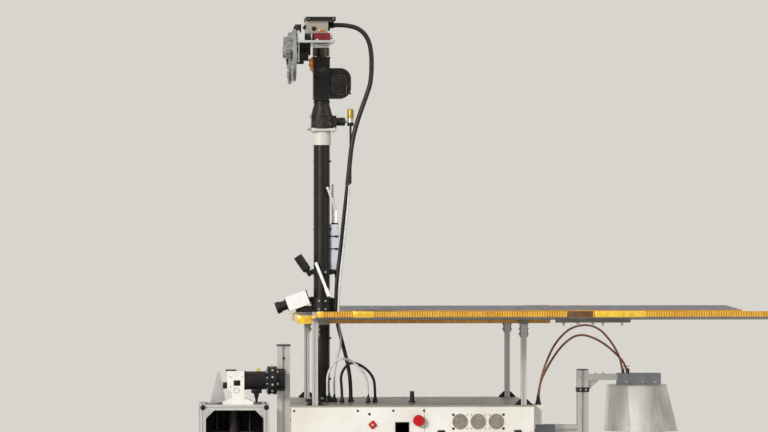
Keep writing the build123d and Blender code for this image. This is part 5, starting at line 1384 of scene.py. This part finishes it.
def add_head_box_details():
    """Connectors, screws and tags on the pale box under the top frame."""
    bolts = new_piece("head_box_screws", "bright_metal", "tilt_head")
    plugs = new_piece("head_box_plugs", "camera_black", "tilt_head")
    tags = new_piece("head_box_tags", "foil_orange", "tilt_head")
    rear, low_z = head_box_rear, bench_high.z - 0.044
    front = rear + 0.080
    for side in (left, right):
        out, y = outward * side, side * 0.075
        zs = (low_z + 0.006, bench_high.z - 0.006)
        bolt_grid(bolts, socket_bolt, (rear + 0.007, front - 0.007), [y], zs, out, 0.003)
        lathe(plugs, (rear + 0.052, y, low_z + 0.016), out, (
            (0, 0.008), (0.0048, 0.008), (0.0060, 0.007), (0.0060, 0.003), (0.0085, 0.003), (0.0085, 0),
            (0, 0),
        ), 24)
        block(
            tags, (rear + 0.012, rear + 0.034), (y, y + side * 0.003), (low_z + 0.004, low_z + 0.012),
            0.0008,
        )
    for k in range(4):
        lathe(plugs, (front, -0.048 + 0.032 * k, low_z + 0.024), forward, (
            (0, 0.007), (0.0045, 0.007), (0.0056, 0.006), (0.0056, 0.002), (0.0075, 0.002), (0.0075, 0),
            (0, 0),
        ), 20)
    for k in range(3):
        ys = about(-0.052 + 0.030 * k, 0.010)
        block(plugs, (rear - 0.010, rear), ys, (low_z + 0.012, low_z + 0.026), 0.001)


def add_top_frame_details():
    """Latches, screws and ribs of the black frame on top of the head."""
    mesh = new_piece("top_frame_ribs", "camera_black", "tilt_head")
    bolts = new_piece("top_frame_screws", "bright_metal", "tilt_head")
    low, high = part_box("top_frame")
    for side in (left, right):
        ys = (side * (high.y - 0.0002), side * (high.y + 0.0018))
        for k in range(4):
            x = low.x + 0.018 + 0.024 * k
            block(mesh, (x, x + 0.010), ys, (low.z + 0.004, high.z - 0.004), 0.0006)
        xs, z = (low.x + 0.009, high.x - 0.009), (low.z + high.z) / 2
        bolt_grid(bolts, socket_bolt, xs, [side * high.y], [z], outward * side, 0.003)
    for k in range(5):
        ys = about(low.y + 0.030 + 0.0325 * k, 0.0015)
        block(mesh, (low.x + 0.003, high.x - 0.003), ys, (low.z + 0.003, high.z - 0.008), 0.0004)


# Drill details

def add_rail_details():
    """Plastic caps, bolts and plugs of the drill's rail."""
    mesh, bolts = new_piece("rail_caps", "camera_black"), new_piece("rail_bolts", "bright_metal")
    low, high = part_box("drill_rail")
    x, y, z = middle("drill_rail")
    ys = (low.y - 0.0004, high.y + 0.0004)
    block(mesh, (low.x - 0.0004, high.x + 0.0004), ys, (high.z - 0.0064, high.z + 0.0006), 0.0022)
    block(mesh, about(x, 0.0222), about(y, 0.0222), (low.z - 0.004, low.z + 0.0005), 0.001)
    zs = [low.z + rise for rise in (0.03, 0.12, 0.21)]
    bolt_grid(bolts, socket_bolt, [x + 0.0095], [y], zs, forward, 0.007)
    for drop in (0.05, 0.095):
        lathe(
            mesh, (x, y + 0.0225, high.z - drop), outward,
            ((0, 0.0004), (0.0040, 0.0004), (0.0046, 0), (0, 0)), 20,
        )


def add_actuator_details():
    """Ribs, bolt circles, terminal box and tag of the drill's turning motor."""
    mesh = new_piece("actuator_ribs", "actuator_black", "drill_carriage", "actuator_black")
    bolts = new_piece("actuator_bolts", "bright_metal", "drill_carriage")
    low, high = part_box("drill_actuator")
    flange = Vector((body_high.x + 0.050, high.y - 0.050, (low.z + high.z) / 2))
    motor = flange + forward * 0.034
    for start, inner, outer, width, rise in (
        (0.002, 0.0498, 0.0512, 0.008, 0.0008), (0.024, 0.0498, 0.0512, 0.008, 0.0008),
        (0.034, 0.0328, 0.0345, 0.0078, 0.0006), (0.110, 0.0328, 0.0345, 0.0078, 0.0006),
    ):
        band(mesh, flange + forward * start, forward, inner, outer, width, rise, 48)
    for number, way in enumerate(round_places((0, 0, 0), "X", 1, 12)):
        socket_bolt(bolts, flange + forward * 0.017 + way * 0.0499, way, 0.0052)
        socket_bolt(bolts, motor + way * 0.0425, forward, 0.0045)
        if number % 2:
            socket_bolt(bolts, flange + way * 0.0430, -forward, 0.0055)
    xs, zs = (motor.x + 0.020, motor.x + 0.058), (motor.z - 0.046, motor.z - 0.030)
    block(mesh, xs, about(motor.y, 0.016), zs, 0.003)
    gland(mesh, motor + Vector((0.039, 0, -0.046)), -up, 0.006)
    place = Matrix.Translation(motor + Vector((0.024, 0.004, 0.0325)))
    turned = Matrix.Rotation(radians(90), 4, "X")
    outline = ((0, 0), (0.017, 0), (0.011, 0.012), (0.005, 0.014))
    plate(new_piece("actuator_tag", "wire_yellow", "drill_carriage"), outline, 0.004, place @ turned)


def add_yoke_details():
    """Window bezels, round bosses and screws of the drill's yoke."""
    bezels = new_piece("yoke_bezels", "actuator_black", "drill_box", "actuator_black")
    rings = new_piece("yoke_rings", "yoke_white", "drill_box", "yoke_white")
    bolts = new_piece("yoke_bolts", "bright_metal", "drill_box")
    low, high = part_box("drill_yoke")
    neck = 0.8703
    window = Vector((neck + 0.026, 0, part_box("drill_actuator")[0].z + 0.042))
    for side, y in ((left, high.y), (right, low.y)):
        out = outward * side
        block(bezels, about(window.x, 0.012), (y, y - side * 0.006), about(window.z, 0.010), 0.0006)
        boss = Vector((window.x + 0.002, y, window.z - 0.027))
        lathe(rings, boss, out, (
            (0, 0.0006), (0.0064, 0.0006), (0.0066, 0.0018), (0.0088, 0.0018), (0.0092, 0.0006),
            (0.0092, 0), (0, 0),
        ), 32)
        band(bezels, boss + out * 0.0002, out, 0.0088, 0.0100, 0.0006, 0, 32)
        for a, b in ((-0.018, 0.022), (0.024, 0.022), (0.024, -0.014)):
            socket_bolt(bolts, (window.x + a, y, window.z + b), out, 0.0034)
    xs, ys = (low.x + 0.010, high.x - 0.010), (low.y + 0.012, high.y - 0.012)
    bolt_grid(bolts, socket_bolt, xs, ys, [low.z + 0.010], up, 0.0055)
    ys = (low.y + 0.008, high.y - 0.012)
    block(bezels, (neck + 0.027, neck + 0.066), ys, (high.z - 0.001, high.z + 0.004), 0.001)
    ys = (low.y + 0.012, high.y - 0.020)
    block(bezels, (neck + 0.0605, neck + 0.0762), ys, (high.z - 0.064, high.z - 0.042), 0.0012)


def add_gusset():
    """Thin folded gusset from the frame's top up to the drill axis, on the far side of the yoke."""
    mesh = new_piece("frame_gusset", "profile_metal", "drill_box", "profile_metal")
    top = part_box("drill_frame")[1].z
    y, thick = 0.150, 0.004
    matrix = Matrix(((1, 0, 0, 0), (0, 0, -1, y + thick), (0, 1, 0, top), (0, 0, 0, 1)))
    plate(mesh, ((0.931, 0), (0.953, 0.112), (0.962, 0.112), (0.989, 0)), thick, matrix)
    block(mesh, (0.926, 0.996), (y - 0.016, y + 0.002), (top, top + 0.003), 0.0005)


def add_frame_details():
    """Round corner caps, feet and corner screws of the drill's box."""
    caps = new_piece("frame_caps", "camera_black", "drill_box")
    bolts = new_piece("frame_screws", "bright_metal", "drill_box")
    low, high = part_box("drill_frame")
    half = 0.010
    for x, inward in ((low.x, 1), (high.x, -1)):
        post = x + inward * half
        for y in (low.y + half, high.y - half):
            square = half - 0.0006
            block(caps, about(post, square), about(y, square), (low.z - 0.003, low.z + 0.0002), 0.0008)
        for (z, upward), (side, y) in product(((low.z, 1), (high.z, -1)), ((left, high.y), (right, low.y))):
            out, cap = outward * side, Vector((post, y, z + upward * half))
            lathe(caps, cap, out, (
                (0, 0.0012), (0.0052, 0.0012), (0.0054, 0.0026), (0.0078, 0.0026), (0.0094, 0.0016),
                (0.0096, 0),
                (0, 0),
            ), 28)
            for at in round_places(cap + out * 0.0012, "Y", 0.0066, 4, 0):
                button_bolt(bolts, at, out, 0.0012)
            for a, b in ((0.031, 0.027), (0.025, 0.039)):
                socket_bolt(bolts, (x + inward * a, y - side * 0.002, z + upward * b), out, 0.0042)


def add_auger():
    """Helical flight on the drill's tube."""
    low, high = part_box("drill_spindle")
    foot = Vector((middle("drill_case").x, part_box("drill_case")[0].y + 0.070, low.z + 0.030))
    rise = up * (high.z - 0.120 - foot.z)
    inner, outer, wall, turns = 0.0166, 0.0225, up * 0.0016, 9
    steps = 24 * turns
    rings = []
    for k in range(steps + 1):
        base = foot + rise * (k / steps)
        way = Vector((cos(tau * k / 24), sin(tau * k / 24), 0))
        near, far = base + way * inner, base + way * outer
        rings.append((near, far, far + wall, near + wall))
    loft(new_piece("auger_flight", "spindle_steel", "drill_box", "spindle_steel"), rings)


# Radar details

horn_sections = (
    # height, X of the middle, width across flats
    (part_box("radar_horn")[1].z, -0.5705, 0.209),
    (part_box("radar_horn")[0].z, -0.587, 0.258),
)


def horn_corner(k, share, grow=0.0):
    """A point on a fold of the horn, from its top to its mouth."""
    z, x, flat = [top + (bottom - top) * share for top, bottom in zip(*horn_sections)]
    reach = (flat / 2 + grow) / cos(pi / 8)
    angle = radians(22.5) + tau * k / 8
    return Vector((x + reach * cos(angle), radar_y + reach * sin(angle), z))


def add_horn_details():
    """Rim flanges and the rivets beside the folds of the sheet horn."""
    rims = new_piece("horn_rims", "horn_metal", slot="horn_metal")
    rivets = new_piece("horn_rivets", "horn_metal", slot="horn_metal")
    for k in range(8):
        for share in (0.08, 0.50, 0.92):
            at, after = horn_corner(k, share), horn_corner(k + 1, share)
            along = (after - at).normalized()
            for spot in (at + along * 0.008, after - along * 0.008):
                lathe(
                    rivets, spot, along.cross(up), ((0, 0.0010), (0.0010, 0.0008), (0.0019, 0), (0, 0)), 10,
                )
        for share, width, start, end in ((0.0, 0.004, -0.0016, 0.0), (1.0, 0.003, 0.0003, 0.0019)):
            ring = [horn_corner(n, share, grow) for n, grow in (
                (k, 0.0004), (k + 1, 0.0004), (k + 1, width), (k, width),
            )]
            loft(rims, [[point + up * rise for point in ring] for rise in (start, end)])


def add_radar_lead_ends():
    """Black boots, bright connectors and yellow ties at the ends of the radar's leads."""
    boots, plugs = new_piece("radar_boots", "camera_black"), new_piece("radar_plugs", "bright_metal")
    ties = new_piece("radar_ties", "wire_yellow")
    for name, diameter, length, body, slot, points in cord_routes:
        if not name.startswith("radar_lead"):
            continue
        start, end = Vector(points[0]), Vector(points[-1])
        knob(plugs, end, -up, 0.0050, 0.0062, 0.0045, 0.0035, 6)
        lathe(boots, end, up, (
            (0.0042, 0), (0.0062, 0), (0.0062, 0.026), (0.0054, 0.040), (0.0048, 0.052), (0.0042, 0.053),
            (0.0042, 0),
        ), 20)
        lathe(boots, start, up, (
            (0.0042, 0), (0.0080, 0), (0.0080, 0.006), (0.0056, 0.012), (0.0046, 0.030), (0.0042, 0.030),
            (0.0042, 0),
        ), 20)
        band(ties, end + up * 0.058, up, 0.0041, 0.0056, 0.004, 0.0004, 16)


def add_radar_frame_details():
    """Caps, clamp screws and the dark sleeve of the radar's carrier."""
    caps, bolts = new_piece("radar_caps", "camera_black"), new_piece("radar_screws", "bright_metal")
    sleeve = new_piece("beam_sleeve", "bracket_blue", slot="bracket_blue")
    low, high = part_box("radar_frame")
    x, y = -0.372, radar_y
    for half, zs, edge in (
        (0.0198, (high.z - 0.0002, high.z + 0.003), 0.0015),
        (0.0198, (low.z - 0.003, low.z + 0.0002), 0.0015),
        (0.0226, (low.z + 0.1788, low.z + 0.1962), 0.0014),
    ):
        block(caps, about(x, half), about(y, half), zs, edge)
    block(sleeve, (-0.270, -0.1985), about(y, 0.0208), (0.5792, 0.6208), 0.0014)
    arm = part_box("radar_bracket")[1].z - 0.025
    bolt_grid(bolts, socket_bolt, (-0.420, -0.448), [y], [arm + 0.022], up, 0.006)
    for side in (left, right):
        for xs, reach, z in (
            (about(x, 0.010), 0.022, low.z + 0.1875), (about(x, 0.010), 0.020, high.z - 0.026),
            ((-0.530, -0.590, -0.635), 0.030, arm - 0.006),
        ):
            bolt_grid(bolts, socket_bolt, xs, [y + side * reach], [z], outward * side, 0.005)


# Running gear details

def add_wheel_details():
    """Bolts and a cover on each hub, and rivets along both rims."""
    for name, side in corners:
        mesh = new_piece("wheel_bolts_" + name, "bright_metal", "wheel_" + name)
        cover = new_piece("wheel_cover_" + name, "dark_metal", "wheel_" + name)
        out, x = outward * side, middle("wheel_" + name).x
        hub = Vector((x, side * (track_half + 0.035), axle_z))
        for at in round_places(hub, "Y", 0.038, 6, 0.25):
            hex_bolt(mesh, at, out, 0.0052)
        for y in about(side * track_half, 0.048):
            axle = Vector((x, y, axle_z))
            for at in round_places(axle, "Y", 0.1380, 20):
                button_bolt(mesh, at, (at - axle).normalized(), 0.0032)
        lathe(cover, hub + out * 0.012, out, (
            (0, 0.0030), (0.0130, 0.0030), (0.0150, 0.0022), (0.0180, 0.0004), (0.0180, 0), (0, 0),
        ), 32)


def add_leg_details():
    """Motor end caps, screws, a cable gland and flange bolts on each steered leg."""
    for name, side in corners:
        bolts = new_piece("leg_bolts_" + name, "bright_metal", "steer_" + name)
        caps = new_piece("leg_motor_caps_" + name, "motor_black", "steer_" + name, "motor_black")
        back, x, z = -outward * side, middle("leg_" + name).x, axle_z
        cap, flange = side * 0.384, side * 0.440
        lathe(caps, (x, cap + side * 0.014, z), back, (
            (0.0278, 0), (0.0300, 0.0006), (0.0300, 0.0110), (0.0285, 0.0130), (0.0278, 0.0142),
            (0, 0.0160),
            (0, 0.013),
        ), 36)
        gland(caps, (x, cap - side * 0.0018, z + 0.012), back, 0.006)
        for at in round_places((x, flange, z), "Y", 0.0315, 6, 0):
            socket_bolt(bolts, at, back, 0.0038)
        bolt_grid(bolts, socket_bolt, about(x, 0.022), [flange], (z + 0.062, z + 0.128), back, 0.0045)
        for low in (z + 0.052, z + 0.082, z + 0.112):
            block(bolts, about(x, 0.019), (flange, flange - side * 0.003), (low, low + 0.004), 0.001)


def add_steering_details():
    """Rings and cap screws of the steering motors."""
    rings = new_piece("steering_rings", "motor_black", slot="motor_black")
    bolts = new_piece("steering_bolts", "bright_metal")
    low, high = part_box("steering_motors")
    for name, side in corners:
        x, y = middle("leg_" + name).x, side * track_half
        for rise in (0.004, 0.012, 0.084, 0.094):
            band(rings, (x, y, low.z + rise), up, 0.0348, 0.0360, 0.005, 0.0005, 40)
        knob(rings, (x, y, high.z), up, 0.017, 0.0205, 0.002, 0.0005, 32)
        for at in round_places((x, y, high.z - 0.018), "Z", 0.0290, 6):
            socket_bolt(bolts, at, up, 0.0036)


def add_bogie_details():
    """Clamp screws, pivot nuts and flange bolts of the bogies."""
    mesh, nuts = new_piece("bogie_bolts", "bright_metal"), new_piece("bogie_nuts", "dark_metal")
    rocker, beam = Vector((0.530, 0, 0.445)), Vector((0, 0, 0.445))
    for base, axis, out, flange, washer in (
        (rocker, "Y", outward, 0.358, 0.485), (rocker, "Y", -outward, 0.358, 0.485),
        (beam, "X", -forward, 0.183, 0.355),
    ):
        knob(nuts, base + out * (washer + 0.008), out, 0.016, 0.019, 0.006, 0.004, 6)
        band(nuts, base + out * washer, out, 0.0252, 0.031, 0.003, 0, 32)
        for at in round_places(base + out * flange, axis, 0.042, 8):
            hex_bolt(mesh, at, out, 0.0055)
    for side in (left, right):
        xs = (*about(0.825, 0.012), *about(0.235, 0.012))
        bolt_grid(mesh, socket_bolt, xs, [side * 0.5639], (0.348, 0.374), outward * side, 0.005)


bpy.context.scene.view_settings.view_transform = "Standard"
for step in (
    add_camera, add_lamps, add_world, add_paints, add_cords, add_glands, add_floor, add_panel_screws,
    add_fan_details, add_stop_caps, add_latches, add_port, add_deck_details, add_cells, add_edge_film,
    add_edge_wraps, add_post_details, add_splice_studs, add_clamp_details, add_box_camera_details,
    add_spot_camera_details, add_radio_details, add_pedestal_details, add_aerial_tips, add_pan_details,
    add_yoke_foil, add_bench_details, add_filter_details, add_red_camera_details, add_head_box_details,
    add_top_frame_details, add_rail_details, add_actuator_details, add_yoke_details, add_gusset,
    add_frame_details, add_auger, add_horn_details, add_radar_lead_ends, add_radar_frame_details,
    add_wheel_details, add_leg_details, add_steering_details, add_bogie_details, finish_pieces,
):
    step()
